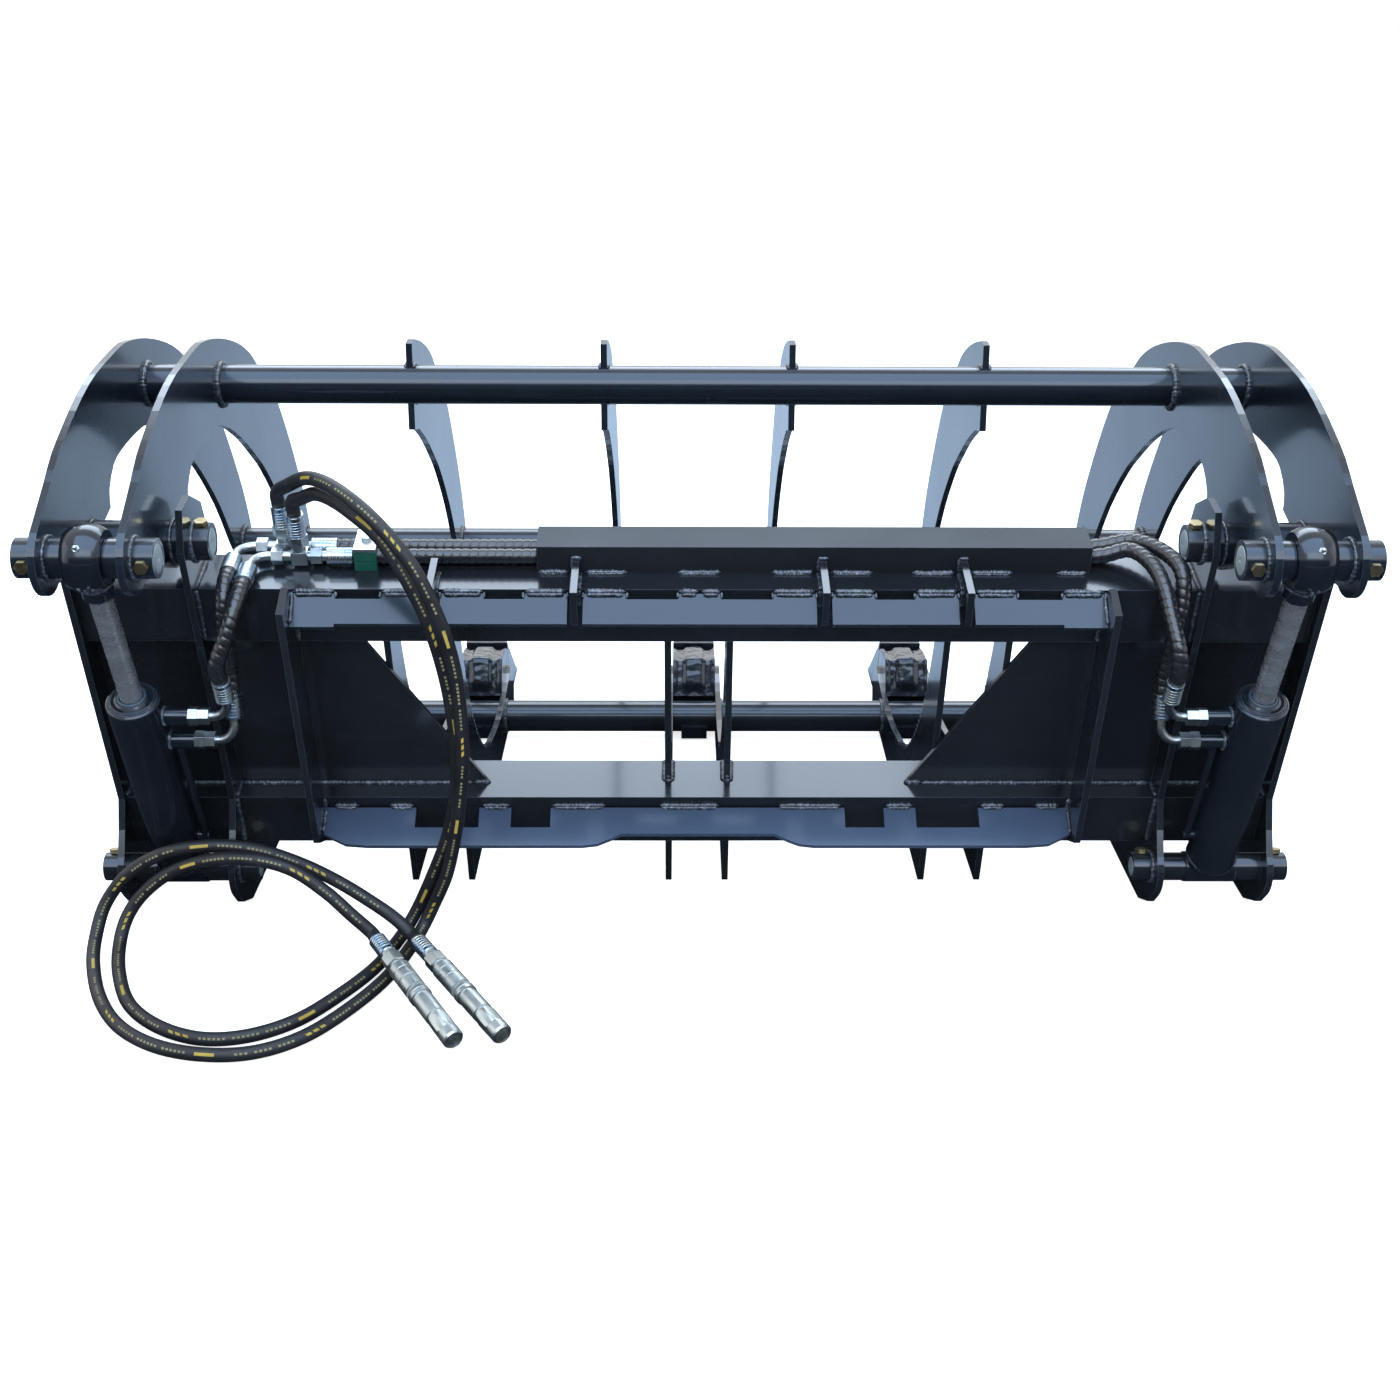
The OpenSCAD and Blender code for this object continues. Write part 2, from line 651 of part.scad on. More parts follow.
module arm_inner_left() {
    color(paint) place() mirror([1, 0, 0]) arm_inner();
}
module arm_inner_right() {
    color(paint) place() arm_inner();
}
module arm_outer_right() {
    color(paint) place() arm_outer();
}

module jaw_tube(p) {
    end = arm_out_x - plate_t / 2;
    color(paint) place() ring_x(-end, 2 * end, jaw_tube_d, jaw_tube_d - 2 * tube_wall, p);
}
module jaw_top_tube() {
    jaw_tube(jaw_top);
}
module jaw_nose_tube() {
    jaw_tube(jaw_nose);
}

// Single tines of the jaw, notched over the tubes
tine_back_share = [0.472, 0.162];
tine_notch_share = [0.411, 0.005];
module jaw_tine(x) {
    sheet(x, plate_t) difference() {
        polygon(concat(
            [pivot + tine_back_share * arm_reach],
            smooth(arm_points(arm_nose_shares), 3),
            smooth(arm_points(arm_tip_shares), 3),
            [pivot + tine_notch_share * arm_reach]));
        for (p = [jaw_top, jaw_nose]) translate(p)
            circle(d = jaw_tube_d + 2 * fit_gap, $fn = round_fn);
    }
}
module jaw_tines() {
    color(paint) place() for (x = [inner_tine_x, outer_tine_x]) both_sides() jaw_tine(x);
}

// Hub tubes on the jaw pivot and the bosses on the rod pin
hub_end_gap = 1.5;
rod_boss_l = 30;
module jaw_hubs() {
    x0 = side_in_face + plate_t + hub_end_gap;
    color(paint) place() both_sides()
        ring_x(x0, side_pitch - plate_t - 2 * hub_end_gap, hub_d, pin_d + 2 * run_gap, pivot);
}
rod_spacer_l = (arm_pitch - plate_t - eye_w) / 2 - 2 * seat_gap;
rod_boss_xs = [arm_in_x - plate_t / 2 - rod_boss_l, arm_out_x + plate_t / 2];
module jaw_bosses_side() {
    for (x = rod_boss_xs) difference() {
        ring_x(x, rod_boss_l, boss_d, pin_d + run_gap, rod_pin);
        bolt_hole(x + rod_boss_l / 2, rod_pin, rod_bolt_angle, boss_d);
    }
    ring_x(arm_in_x + plate_t / 2, rod_spacer_l, boss_d, pin_d + run_gap, rod_pin);
    ring_x(arm_out_x - plate_t / 2 - rod_spacer_l, rod_spacer_l, boss_d, pin_d + run_gap, rod_pin);
}
module jaw_bosses() {
    color(paint) place() both_sides() jaw_bosses_side();
}
module rod_pins() {
    l = arm_pitch + plate_t + 2 * rod_boss_l;
    color(disc_grey) place() both_sides()
        drilled_pin(rod_boss_xs[0] + seat_gap, l - 2 * seat_gap, pin_d, rod_pin,
            [for (x = rod_boss_xs) x + rod_boss_l / 2], rod_bolt_angle);
}
module jaw_pin_bolts() {
    color(gold) place() both_sides() for (x = rod_boss_xs)
        pin_bolt(x + rod_boss_l / 2, rod_pin, rod_bolt_angle, boss_d, pin_d);
}

// Cylinders: the line from the base pin to the rod pin is the local Z
cyl_vec = rod_pin - base_pin;
cyl_l = norm(cyl_vec);
cyl_angle = atan2(cyl_vec[1], cyl_vec[0]);
module along_cylinder(side) {
    place() mirror([side < 0 ? 1 : 0, 0, 0])
        translate([bay_x, base_pin[0], base_pin[1]]) rotate([cyl_angle - 90, 0, 0]) children();
}
foot_d = 1.09 * base_boss_d;
barrel_foot = 0.3 * barrel_d;
bore_foot = 0.66 * barrel_d;
gland_l = 0.36 * barrel_bore;
port_d = 24;
port_hole = 9;
port_up = barrel_l - 30;
port_low = barrel_l - 79;
port_end = 36;
pipe_d = 12;
port_reach = barrel_d / 2 + port_end;
pipe_x = -barrel_d / 2 - 0.5 * pipe_d - 4;
pipe_low = bore_foot + 0.35 * barrel_d;

module port_stub(z) {
    difference() {
        translate([-port_reach, 0, z]) rotate([0, 90, 0])
            cylinder(h = port_reach, d = port_d, $fn = small_fn);
        cylinder(h = barrel_l, d = barrel_bore, $fn = round_fn);
        translate([-port_reach - cut, 0, z]) rotate([0, 90, 0])
            cylinder(h = port_reach + cut, d = port_hole, $fn = small_fn);
    }
}
module barrel_body() {
    difference() {
        union() {
            translate([0, 0, barrel_foot])
                cylinder(h = barrel_l - barrel_foot, d = barrel_d, $fn = round_fn);
            translate([-foot_w / 2, 0, 0]) rotate([0, 90, 0])
                cylinder(h = foot_w, d = foot_d, $fn = round_fn);
        }
        translate([0, 0, bore_foot]) cylinder(h = barrel_l, d = barrel_bore, $fn = round_fn);
        translate([-foot_w, 0, 0]) rotate([0, 90, 0])
            cylinder(h = 2 * foot_w, d = base_pin_d + 2 * run_gap, $fn = round_fn);
        translate([-barrel_d, 0, port_up]) rotate([0, 90, 0])
            cylinder(h = barrel_d, d = port_hole, $fn = small_fn);
        translate([-barrel_d, 0, pipe_low]) rotate([0, 90, 0])
            cylinder(h = barrel_d, d = 0.5 * pipe_d, $fn = small_fn);
    }
    port_stub(port_up);
}
// The lower port stands on a hard pipe that runs down the barrel to its foot
module barrel_pipe() {
    difference() {
        union() {
            translate([-port_reach, 0, port_low]) rotate([0, 90, 0])
                cylinder(h = port_reach, d = port_d, $fn = small_fn);
            translate([pipe_x, 0, pipe_low]) cylinder(h = port_low - pipe_low, d = pipe_d, $fn = small_fn);
            translate([pipe_x - pipe_d / 2, 0, pipe_low]) rotate([0, 90, 0])
                cylinder(h = -pipe_x, d = pipe_d, $fn = small_fn);
        }
        cylinder(h = barrel_l, d = barrel_d - 2 * cut, $fn = round_fn);
        translate([-port_reach - cut, 0, port_low]) rotate([0, 90, 0])
            cylinder(h = port_reach + cut, d = port_hole, $fn = small_fn);
    }
}
module barrel(side) {
    color(paint) along_cylinder(side) {
        barrel_body();
        barrel_pipe();
    }
}
module barrel_left() {
    barrel(-1);
}
module barrel_right() {
    barrel(1);
}

module gland(side) {
    color(paint) along_cylinder(side) difference() {
        union() {
            translate([0, 0, barrel_l - gland_l])
                cylinder(h = gland_l, d = barrel_bore - 2 * run_gap, $fn = round_fn);
            translate([0, 0, barrel_l]) {
                cylinder(h = 0.1 * gland_l, d = barrel_d - 4 * cut, $fn = round_fn);
                cylinder(h = 0.22 * gland_l, d = barrel_bore, $fn = round_fn);
                cylinder(h = 0.36 * gland_l, d = 1.3 * rod_d, $fn = round_fn);
            }
        }
        translate([0, 0, barrel_l - 2 * gland_l])
            cylinder(h = 3 * gland_l, d = rod_d + 2 * run_gap, $fn = round_fn);
    }
}
module gland_left() {
    gland(-1);
}
module gland_right() {
    gland(1);
}

neck_l = 0.4 * eye_w;
neck_gap = 0.5;
neck_end = cyl_l - eye_d / 2 - neck_l;
piston_l = 0.55 * barrel_bore;
piston_top = port_up - 0.5 * port_d;
module rod(side) {
    color(steel) along_cylinder(side) {
        translate([0, 0, piston_top - piston_l])
            cylinder(h = piston_l, d = barrel_bore - 2 * run_gap, $fn = round_fn);
        translate([0, 0, piston_top - cut])
            cylinder(h = neck_end - neck_gap - piston_top + cut, d = rod_d, $fn = round_fn);
    }
}
module rod_left() {
    rod(-1);
}
module rod_right() {
    rod(1);
}

eye_edge = 0.14 * eye_w;
module eye_profile() {
    polygon([[0, -eye_w / 2], [eye_d / 2 - eye_edge, -eye_w / 2], [eye_d / 2, eye_edge - eye_w / 2],
             [eye_d / 2, eye_w / 2 - eye_edge], [eye_d / 2 - eye_edge, eye_w / 2], [0, eye_w / 2]]);
}
module rod_eye(side) {
    color(paint) along_cylinder(side) difference() {
        union() {
            translate([0, 0, cyl_l]) rotate([0, 90, 0]) rotate_extrude($fn = 64) eye_profile();
            translate([0, 0, neck_end])
                cylinder(h = eye_d / 2 + neck_l - pin_d / 2 - cut, d = 1.33 * rod_d, $fn = round_fn);
        }
        translate([-eye_w, 0, cyl_l]) rotate([0, 90, 0])
            cylinder(h = 2 * eye_w, d = pin_d + 2 * run_gap, $fn = round_fn);
        translate([0, 0, cyl_l]) rotate([nipple_angle, 0, 0])
            cylinder(h = eye_d, d = nipple_d, $fn = small_fn);
    }
}
nipple_angle = 35;
nipple_d = 6;
module grease_nipple(side) {
    color(zinc) along_cylinder(side) translate([0, 0, cyl_l]) rotate([nipple_angle, 0, 0]) {
        translate([0, 0, eye_d / 2 - 8]) cylinder(h = 8 + cut, d = nipple_d - fit_gap, $fn = small_fn);
        translate([0, 0, eye_d / 2 + 0.5]) cylinder(h = 4, d = 10, $fn = 6);
        translate([0, 0, eye_d / 2 + 4]) cylinder(h = 5, d = 5, $fn = small_fn);
        translate([0, 0, eye_d / 2 + 9]) sphere(d = 6.5, $fn = small_fn);
    }
}
module rod_eye_left() {
    rod_eye(-1);
}
module rod_eye_right() {
    rod_eye(1);
}
module grease_nipple_left() {
    grease_nipple(-1);
}
module grease_nipple_right() {
    grease_nipple(1);
}

// Elbow on a swivel nut: it stands on the nut along Z and leaves along X with its ferrule
line_tube_d = 13 * fit_u;
nut_l = 16 * fit_u;
nut_af = 22 * fit_u;
elbow_leg = 4 * fit_u;
bend_r = 24 * fit_u;
out_leg = 9 * fit_u;
crimp_l = 37 * fit_u;
elbow_rise = nut_l + elbow_leg + bend_r;
elbow_reach = bend_r + out_leg + crimp_l;
module hex_z(h, af) {
    cylinder(h = h, d = af / cos(30), $fn = 6);
}
module ferrule_z(h) {
    cylinder(h = h, d = ferrule_d, $fn = small_fn);
}
module elbow() {
    hex_z(nut_l, nut_af);
    cylinder(h = nut_l + elbow_leg, d = line_tube_d, $fn = small_fn);
    translate([bend_r, 0, nut_l + elbow_leg]) rotate([90, 0, 0]) rotate([0, 0, 90])
        rotate_extrude(angle = 90, $fn = round_fn) translate([bend_r, 0])
            circle(d = line_tube_d, $fn = small_fn);
    translate([bend_r, 0, elbow_rise]) rotate([0, 90, 0]) {
        cylinder(h = out_leg + cut, d = line_tube_d, $fn = small_fn);
        translate([0, 0, out_leg]) ferrule_z(crimp_l);
    }
}

// Fittings at the two ports of a cylinder
adapter_l = 13 * fit_u;
adapter_af = 24 * fit_u;
lower_lean = 30;
module port_fitting(port, lean) {
    translate([0, 0, port]) rotate([-lean, 0, 0]) rotate([0, -90, 0]) translate([0, 0, port_reach]) {
        hex_z(adapter_l, adapter_af);
        translate([0, 0, adapter_l]) elbow();
    }
}
module line_fittings(side) {
    color(zinc) along_cylinder(side) {
        port_fitting(port_up, 0);
        port_fitting(port_low, lower_lean);
    }
}
module line_fittings_left() {
    line_fittings(-1);
}
module line_fittings_right() {
    line_fittings(1);
}

// Where a line ends at the cylinder, on the right side, and the direction it leaves in
function line_dir(lean) = [0, cos(cyl_angle - lean), sin(cyl_angle - lean)];
function line_end(port, lean) =
    [bay_x - port_reach - adapter_l - elbow_rise,
     base_pin[0] + port * cos(cyl_angle), base_pin[1] + port * sin(cyl_angle)]
    + elbow_reach * line_dir(lean);

// The two lines on the upper beam: the far one feeds the lower ports, the near one the upper
line_pitch = ferrule_d + 2 * seat_gap;
line_mid_y = 0.837 * beam_s;
line_z = upper_top + ferrule_d / 2 + 3 * fit_u;
near_y = line_mid_y - line_pitch / 2;
far_y = line_mid_y + line_pitch / 2;
near_tee_x = -(lip_half - 0.12 * ferrule_d);
far_tee_x = near_tee_x - ferrule_d - fit_u;
tee_d = 20 * fit_u;
tee_block = 23 * fit_u;
tee_right = 16 * fit_u;
tee_left = 24 * fit_u;
neck_run = 7 * fit_u;
neck_d = 15 * fit_u;
stem_l = 20 * fit_u;
stem_nut_l = 16 * fit_u;
stem_nut_af = 26 * fit_u;
stem_crimp_l = 34 * fit_u;
crimp_start = tee_right + nut_l + neck_run;
stem_top = stem_l + stem_nut_l + stem_crimp_l;
module tee(x, y) {
    translate([x, y, line_z]) {
        translate([-tee_block / 2, -tee_d / 2, -tee_d / 2]) cube([tee_block, tee_d, tee_d]);
        cylinder(h = stem_l + stem_nut_l, d = tee_d - fit_u, $fn = small_fn);
        translate([0, 0, stem_l]) hex_z(stem_nut_l, stem_nut_af);
        translate([0, 0, stem_l + stem_nut_l]) ferrule_z(stem_crimp_l);
        rotate([0, 90, 0]) {
            cylinder(h = tee_right + nut_l, d = neck_d, $fn = small_fn);
            translate([0, 0, tee_right]) hex_z(nut_l, nut_af);
            translate([0, 0, tee_right + nut_l - cut])
                cylinder(h = neck_run + 2 * cut, d = neck_d, $fn = small_fn);
            translate([0, 0, crimp_start]) ferrule_z(crimp_l);
        }
        rotate([0, -90, 0]) cylinder(h = tee_left + cut, d = neck_d, $fn = small_fn);
        rotate([90, 0, 0]) rotate([0, -90, 0]) translate([0, 0, tee_left]) elbow();
    }
}
module tee_fittings() {
    color(zinc) place() {
        tee(near_tee_x, near_y);
        tee(far_tee_x, far_y);
    }
}

// Two-part hose clamp with its cover plate and bolt
clamp_w = 1.39 * wrap_d;
clamp_x = near_tee_x + crimp_start + crimp_l + 3 * fit_u + clamp_w / 2;
clamp_y = 2.4 * wrap_d;
clamp_h = 2 * (line_z - upper_top);
clamp_plate_t = 0.2 * wrap_d;
clamp_bolt_d = 0.35 * wrap_d;
clamp_split = 2 * seat_gap;
clamp_bolt_in = 0.2 * clamp_h;
module clamp_half(z0, z1) {
    difference() {
        translate([clamp_x - clamp_w / 2, line_mid_y - clamp_y / 2, z0]) cube([clamp_w, clamp_y, z1 - z0]);
        for (y = [near_y, far_y])
            bar_x(clamp_x - clamp_w, 2 * clamp_w, wrap_d + 2 * seat_gap, [y, line_z]);
        translate([clamp_x, line_mid_y, upper_top + clamp_h - clamp_bolt_in - seat_gap])
            cylinder(h = clamp_h, d = clamp_bolt_d + 2 * fit_gap, $fn = small_fn);
    }
}
module hose_clamp() {
    color(clamp_green) place() {
        clamp_half(upper_top, line_z - clamp_split / 2);
        clamp_half(line_z + clamp_split / 2, upper_top + clamp_h);
    }
}
module clamp_plate() {
    color(zinc) place() translate([clamp_x, line_mid_y, upper_top + clamp_h]) {
        difference() {
            translate([-clamp_w / 2, -clamp_y / 2, 0]) cube([clamp_w, clamp_y, clamp_plate_t]);
            translate([0, 0, -cut])
                cylinder(h = clamp_plate_t + 2 * cut, d = clamp_bolt_d + 2 * fit_gap, $fn = small_fn);
        }
        translate([0, 0, clamp_plate_t]) hex_z(0.7 * clamp_bolt_d, 1.6 * clamp_bolt_d);
        translate([0, 0, -clamp_bolt_in])
            cylinder(h = clamp_bolt_in + clamp_plate_t + cut, d = clamp_bolt_d, $fn = small_fn);
    }
}

// A tube swept along points: one radius for each ring, and an optional bore
sides = 8;
function tangents(p) = [for (i = [0:len(p) - 1]) unit(p[min(i + 1, len(p) - 1)] - p[max(i - 1, 0)])];
function square_to(v, t) = unit(v - (v * t) * t);
function normals(t) = [for (i = 0, n = square_to([0.3, 0.5, 0.8], t[0]); i < len(t);
                            i = i + 1, n = square_to(n, t[min(i, len(t) - 1)])) n];
function rings(p, r) = let (t = tangents(p), n = normals(t))
    [for (i = [0:len(p) - 1], k = [0:sides - 1])
        p[i] + r[i] * (cos(360 * k / sides) * n[i] + sin(360 * k / sides) * cross(t[i], n[i]))];
function wall(count, base, inward) = [for (i = [0:count - 2], k = [0:sides - 1])
    let (a = base + i * sides + k, b = base + i * sides + (k + 1) % sides)
    each inward ? [[a, b, a + sides], [b, b + sides, a + sides]]
                : [[a, a + sides, b], [b, a + sides, b + sides]]];
function end_cap(base, front) = [for (k = [1:sides - 2])
    front ? [base, base + k + 1, base + k] : [base, base + k, base + k + 1]];
function end_ring(outer, inner, front) = [for (k = [0:sides - 1])
    let (a = outer + k, b = outer + (k + 1) % sides, c = inner + k, d = inner + (k + 1) % sides)
    each front ? [[a, c, b], [b, c, d]] : [[a, b, c], [b, d, c]]];
module solid_tube(p, r) {
    n = len(p);
    polyhedron(rings(p, r), concat(wall(n, 0, true), end_cap(0, true), end_cap((n - 1) * sides, false)));
}
module bored_tube(p, r, bore) {
    n = len(p);
    polyhedron(concat(rings(p, r), rings(p, [for (i = p) bore])),
        concat(wall(n, 0, true), wall(n, n * sides, false), end_ring(0, n * sides, true),
            end_ring((n - 1) * sides, (2 * n - 1) * sides, false)));
}

// Places along a path, measured by length
function run_lengths(q) = [for (i = 0, s = 0; i < len(q);
                               i = i + 1, s = i < len(q) ? s + norm(q[i] - q[i - 1]) : s) s];
function along(q, l, s) = let (i = max([for (k = [0:len(q) - 2]) if (l[k] <= s) k]))
    q[i] + (s - l[i]) / (l[i + 1] - l[i]) * (q[i + 1] - q[i]);

// Spiral guard on a line: two rings for each turn, between a crest and a groove
rib_pitch = 12.5 * wrap_d / 23;
rib_groove = 0.06 * wrap_d;
guard_bore = 0.26 * wrap_d;
function rib_spots(s0, s1) = let (turns = floor((s1 - s0) / rib_pitch))
    [for (i = [0:2 * turns]) s0 + (s1 - s0) * i / (2 * turns)];
function crest(i) = wrap_d / 2 - (i % 2 == 0 ? 0 : rib_groove);
module ribbed_line(q, plain_from = 0, plain_to = 0) {
    l = run_lengths(q);
    end = l[len(l) - 1];
    spots = plain_to > plain_from ? concat(rib_spots(0, plain_from), rib_spots(plain_to, end))
                                  : rib_spots(0, end);
    bored_tube([for (s = spots) along(q, l, s)], [for (i = [0:len(spots) - 1]) crest(i)], guard_bore);
}

// The ports of a cylinder, and a line's last straight stretch to one of them
upper_end = line_end(port_up, 0);
lower_end = line_end(port_low, lower_lean);
line_gap = 1.6 * fit_u;
function port_run(e, lean) = [e + 1.3 * wrap_d * line_dir(lean), e + line_gap * line_dir(lean)];

// Short lines to the left cylinder, laid out on the right and mirrored
function short_start(x, y) = let (s = [-x + tee_left + elbow_rise, y - elbow_reach, line_z])
    [s - [0, line_gap, 0], s - [0, wrap_d, 0]];
near_short_shares = [[-1.09, 1.48, 4.09], [-0.61, 0.48, 2.78]];
far_short_shares = [[-0.17, 1.09, 6.20], [-0.09, 0.57, 4.57], [-0.04, 0.48, 2.65]];
function offsets(e, shares) = [for (v = shares) e + wrap_d * v];
module lines_left() {
    color(hose_black) place() mirror([1, 0, 0]) {
        ribbed_line(smooth(concat(short_start(near_tee_x, near_y),
            offsets(upper_end, near_short_shares), port_run(upper_end, 0)), 8));
        ribbed_line(smooth(concat(short_start(far_tee_x, far_y),
            offsets(lower_end, far_short_shares), port_run(lower_end, lower_lean)), 8));
    }
}

// Long lines along the beam, under the cover and down to the right cylinder
beam_steps = 18;
function beam_start(x) = x + crimp_start + crimp_l;
beam_end = cover_end_x - wrap_d;
function beam_run(x, y) = [for (i = [0:beam_steps])
    [beam_start(x) + (beam_end - beam_start(x)) * i / beam_steps, y, line_z]];
function over_edge(y, run) = [[cover_end_x + 0.9 * wrap_d, y, line_z + 0.15 * wrap_d],
                              [cover_end_x + run * wrap_d, y - 0.15 * wrap_d, line_z + 0.65 * wrap_d]];
near_drop_shares = [[-1.25, 5.13, 5.26], [-0.75, 3.30, 4.65], [-0.50, 1.91, 3.65], [-0.20, 0.35, 2.50]];
far_drop_shares = [[-0.38, 4.40, 7.80], [0.42, 2.60, 7.57], [0.48, 1.40, 6.13], [0.20, 0.75, 4.30]];
module long_line(x, path) {
    ribbed_line(smooth(path, 6), cover_x0 + wrap_d - beam_start(x), beam_end - beam_start(x));
}
module lines_right() {
    color(hose_black) place() {
        long_line(near_tee_x, concat(beam_run(near_tee_x, near_y), over_edge(near_y, 2.5),
            offsets(upper_end, near_drop_shares), port_run(upper_end, 0)));
        long_line(far_tee_x, concat(beam_run(far_tee_x, far_y), over_edge(far_y, 2.9),
            offsets(lower_end, far_drop_shares), port_run(lower_end, lower_lean)));
    }
}

// The two supply hoses: out of the tees, over the lips, in a loop on the ground and up
// against the foot of the left cylinder. Points are in the standing frame.
function placed(p) = [p[0], origin_y + leaned([p[1], p[2]])[0], floor_lift + leaned([p[1], p[2]])[1]];
function stem_exit(x, y, rise) = placed([x, y, line_z + stem_top + rise]);
supply_route_a = [
    [-578, -408, 708], [-546, -444, 728], [-512, -486, 734], [-476, -520, 724], [-442, -544, 704],
    [-412, -560, 676], [-384, -568, 638], [-364, -568, 592], [-348, -562, 540], [-338, -552, 478],
    [-336, -538, 408], [-338, -522, 340], [-348, -502, 262], [-362, -480, 188], [-380, -460, 116],
    [-404, -450, 58], [-420, -456, 26], [-434, -494, 13], [-458, -580, 11], [-498, -662, 11],
    [-550, -734, 11], [-612, -772, 11], [-682, -776, 11], [-752, -754, 11], [-814, -706, 11],
    [-862, -634, 11], [-898, -546, 13], [-912, -482, 24], [-902, -450, 62], [-862, -448, 112],
    [-802, -459, 152], [-732, -461, 166], [-664, -458, 158], [-600, -460, 136], [-538, -474, 110],
    [-480, -498, 84], [-450, -512, 68], [-416, -542, 50]
];
supply_route_b = [
    [-558, -428, 694], [-532, -452, 708], [-502, -478, 706], [-470, -502, 692], [-440, -520, 672],
    [-416, -532, 642], [-394, -536, 600], [-374, -534, 548], [-360, -524, 484], [-352, -510, 414],
    [-350, -494, 338], [-358, -476, 252], [-376, -458, 178], [-400, -444, 114], [-426, -436, 54],
    [-444, -444, 22], [-456, -476, 13], [-478, -550, 11], [-518, -626, 11], [-568, -694, 11],
    [-628, -732, 11], [-692, -738, 11], [-758, -708, 11], [-814, -652, 11], [-852, -572, 11],
    [-872, -502, 16], [-866, -470, 48], [-838, -460, 86], [-786, -468, 128], [-720, -482, 154],
    [-656, -494, 160], [-600, -504, 148], [-550, -518, 118], [-514, -530, 88], [-474, -552, 58]
];
coupler_tip_a = [-273, -737, 15];
coupler_tip_b = [-338, -752, 16];
supply_steps = 1;
module supply_hose(x, y, route, tip) {
    end = route[len(route) - 1];
    path = smooth(concat([stem_exit(x, y, 0), stem_exit(x, y, supply_d)], route), supply_steps);
    straight = concat([for (i = [0:len(path) - 1 - supply_steps]) path[i]],
                      [end - supply_d * unit(tip - end), end]);
    color(hose_black) solid_tube(straight, [for (i = straight) supply_d / 2]);
}
module supply_hose_a() {
    supply_hose(far_tee_x, far_y, supply_route_a, coupler_tip_a);
}
module supply_hose_b() {
    supply_hose(near_tee_x, near_y, supply_route_b, coupler_tip_b);
}

// Coupler halves on the ends of the supply hoses, as [length, width, corners] shares
coupler_shares = [
    [0.030, 0.50, 0], [0.107, 0.97, 6], [0.030, 0.69, 0], [0.270, 1.00, 0], [0.030, 0.88, 0],
    [0.058, 1.03, 0], [0.030, 0.88, 0], [0.185, 0.98, 0], [0.260, 0.875, 0]
];
function share_sum(n) = n == 0 ? 0 : coupler_shares[n - 1][0] + share_sum(n - 1);
module coupler(start, tip) {
    v = tip - start;
    l = norm(v) - crimp_l;
    color(zinc) translate(start) rotate([0, acos(v[2] / norm(v)), atan2(v[1], v[0])]) {
        ferrule_z(crimp_l + cut);
        for (i = [0:len(coupler_shares) - 1])
            translate([0, 0, crimp_l + l * share_sum(i)])
                cylinder(h = l * coupler_shares[i][0] + (i < len(coupler_shares) - 1 ? cut : 0),
                         d = coupler_d * coupler_shares[i][1],
                         $fn = coupler_shares[i][2] == 0 ? 32 : coupler_shares[i][2]);
    }
}
module coupler_a() {
    coupler(supply_route_a[len(supply_route_a) - 1], coupler_tip_a);
}
module coupler_b() {
    coupler(supply_route_b[len(supply_route_b) - 1], coupler_tip_b);
}

upper_beam();
lower_beam();
side_plate_outer_left();
side_plate_inner_left();
side_plate_inner_right();
side_plate_outer_right();
tine_plate_1();
tine_plate_2();
tine_plate_3();
tine_plate_4();
tine_plate_5();
tine_plate_6();
cross_tube();
tip_adapters();
tip_teeth();
tooth_pins();
back_panel_left();
back_panel_right();
bay_panels();
upper_lip();
lower_lip();
end_plates();
lip_gussets();
hose_cover();
frame_bosses();
pivot_pins();
base_pins();
frame_pin_bolts();
hose_clamp();
clamp_plate();
tee_fittings();
arm_outer_left();
arm_inner_left();
arm_inner_right();
arm_outer_right();
jaw_top_tube();
jaw_nose_tube();
jaw_tines();
jaw_hubs();
jaw_bosses();
rod_pins();
jaw_pin_bolts();
barrel_left();
gland_left();
line_fittings_left();
rod_left();
rod_eye_left();
grease_nipple_left();
barrel_right();
gland_right();
line_fittings_right();
rod_right();
rod_eye_right();
grease_nipple_right();
lines_left();
lines_right();
supply_hose_a();
supply_hose_b();
coupler_a();
coupler_b();
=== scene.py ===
"""Looks of the root rake grapple: materials, welds, hoses, couplers and small fittings."""
import bpy
import json
import math
import numpy as np
from mathutils import Matrix, Vector, noise


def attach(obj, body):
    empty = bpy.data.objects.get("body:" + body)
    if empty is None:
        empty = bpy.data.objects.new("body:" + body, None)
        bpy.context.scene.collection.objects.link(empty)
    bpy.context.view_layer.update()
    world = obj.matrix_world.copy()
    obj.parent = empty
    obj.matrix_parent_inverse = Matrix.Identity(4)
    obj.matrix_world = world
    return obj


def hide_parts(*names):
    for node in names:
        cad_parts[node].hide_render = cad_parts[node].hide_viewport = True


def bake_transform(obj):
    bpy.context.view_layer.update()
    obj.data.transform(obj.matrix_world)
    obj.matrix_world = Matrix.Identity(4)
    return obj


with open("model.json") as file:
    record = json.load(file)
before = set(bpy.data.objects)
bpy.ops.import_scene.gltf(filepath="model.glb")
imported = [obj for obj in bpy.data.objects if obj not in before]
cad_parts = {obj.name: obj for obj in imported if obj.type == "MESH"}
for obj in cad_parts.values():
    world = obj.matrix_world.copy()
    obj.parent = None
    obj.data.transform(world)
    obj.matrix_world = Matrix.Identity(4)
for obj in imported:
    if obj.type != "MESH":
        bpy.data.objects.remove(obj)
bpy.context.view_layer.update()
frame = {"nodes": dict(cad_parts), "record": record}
NODES = frame["nodes"]
SIDES = (("left", -1), ("right", 1))
TURN = 2 * math.pi

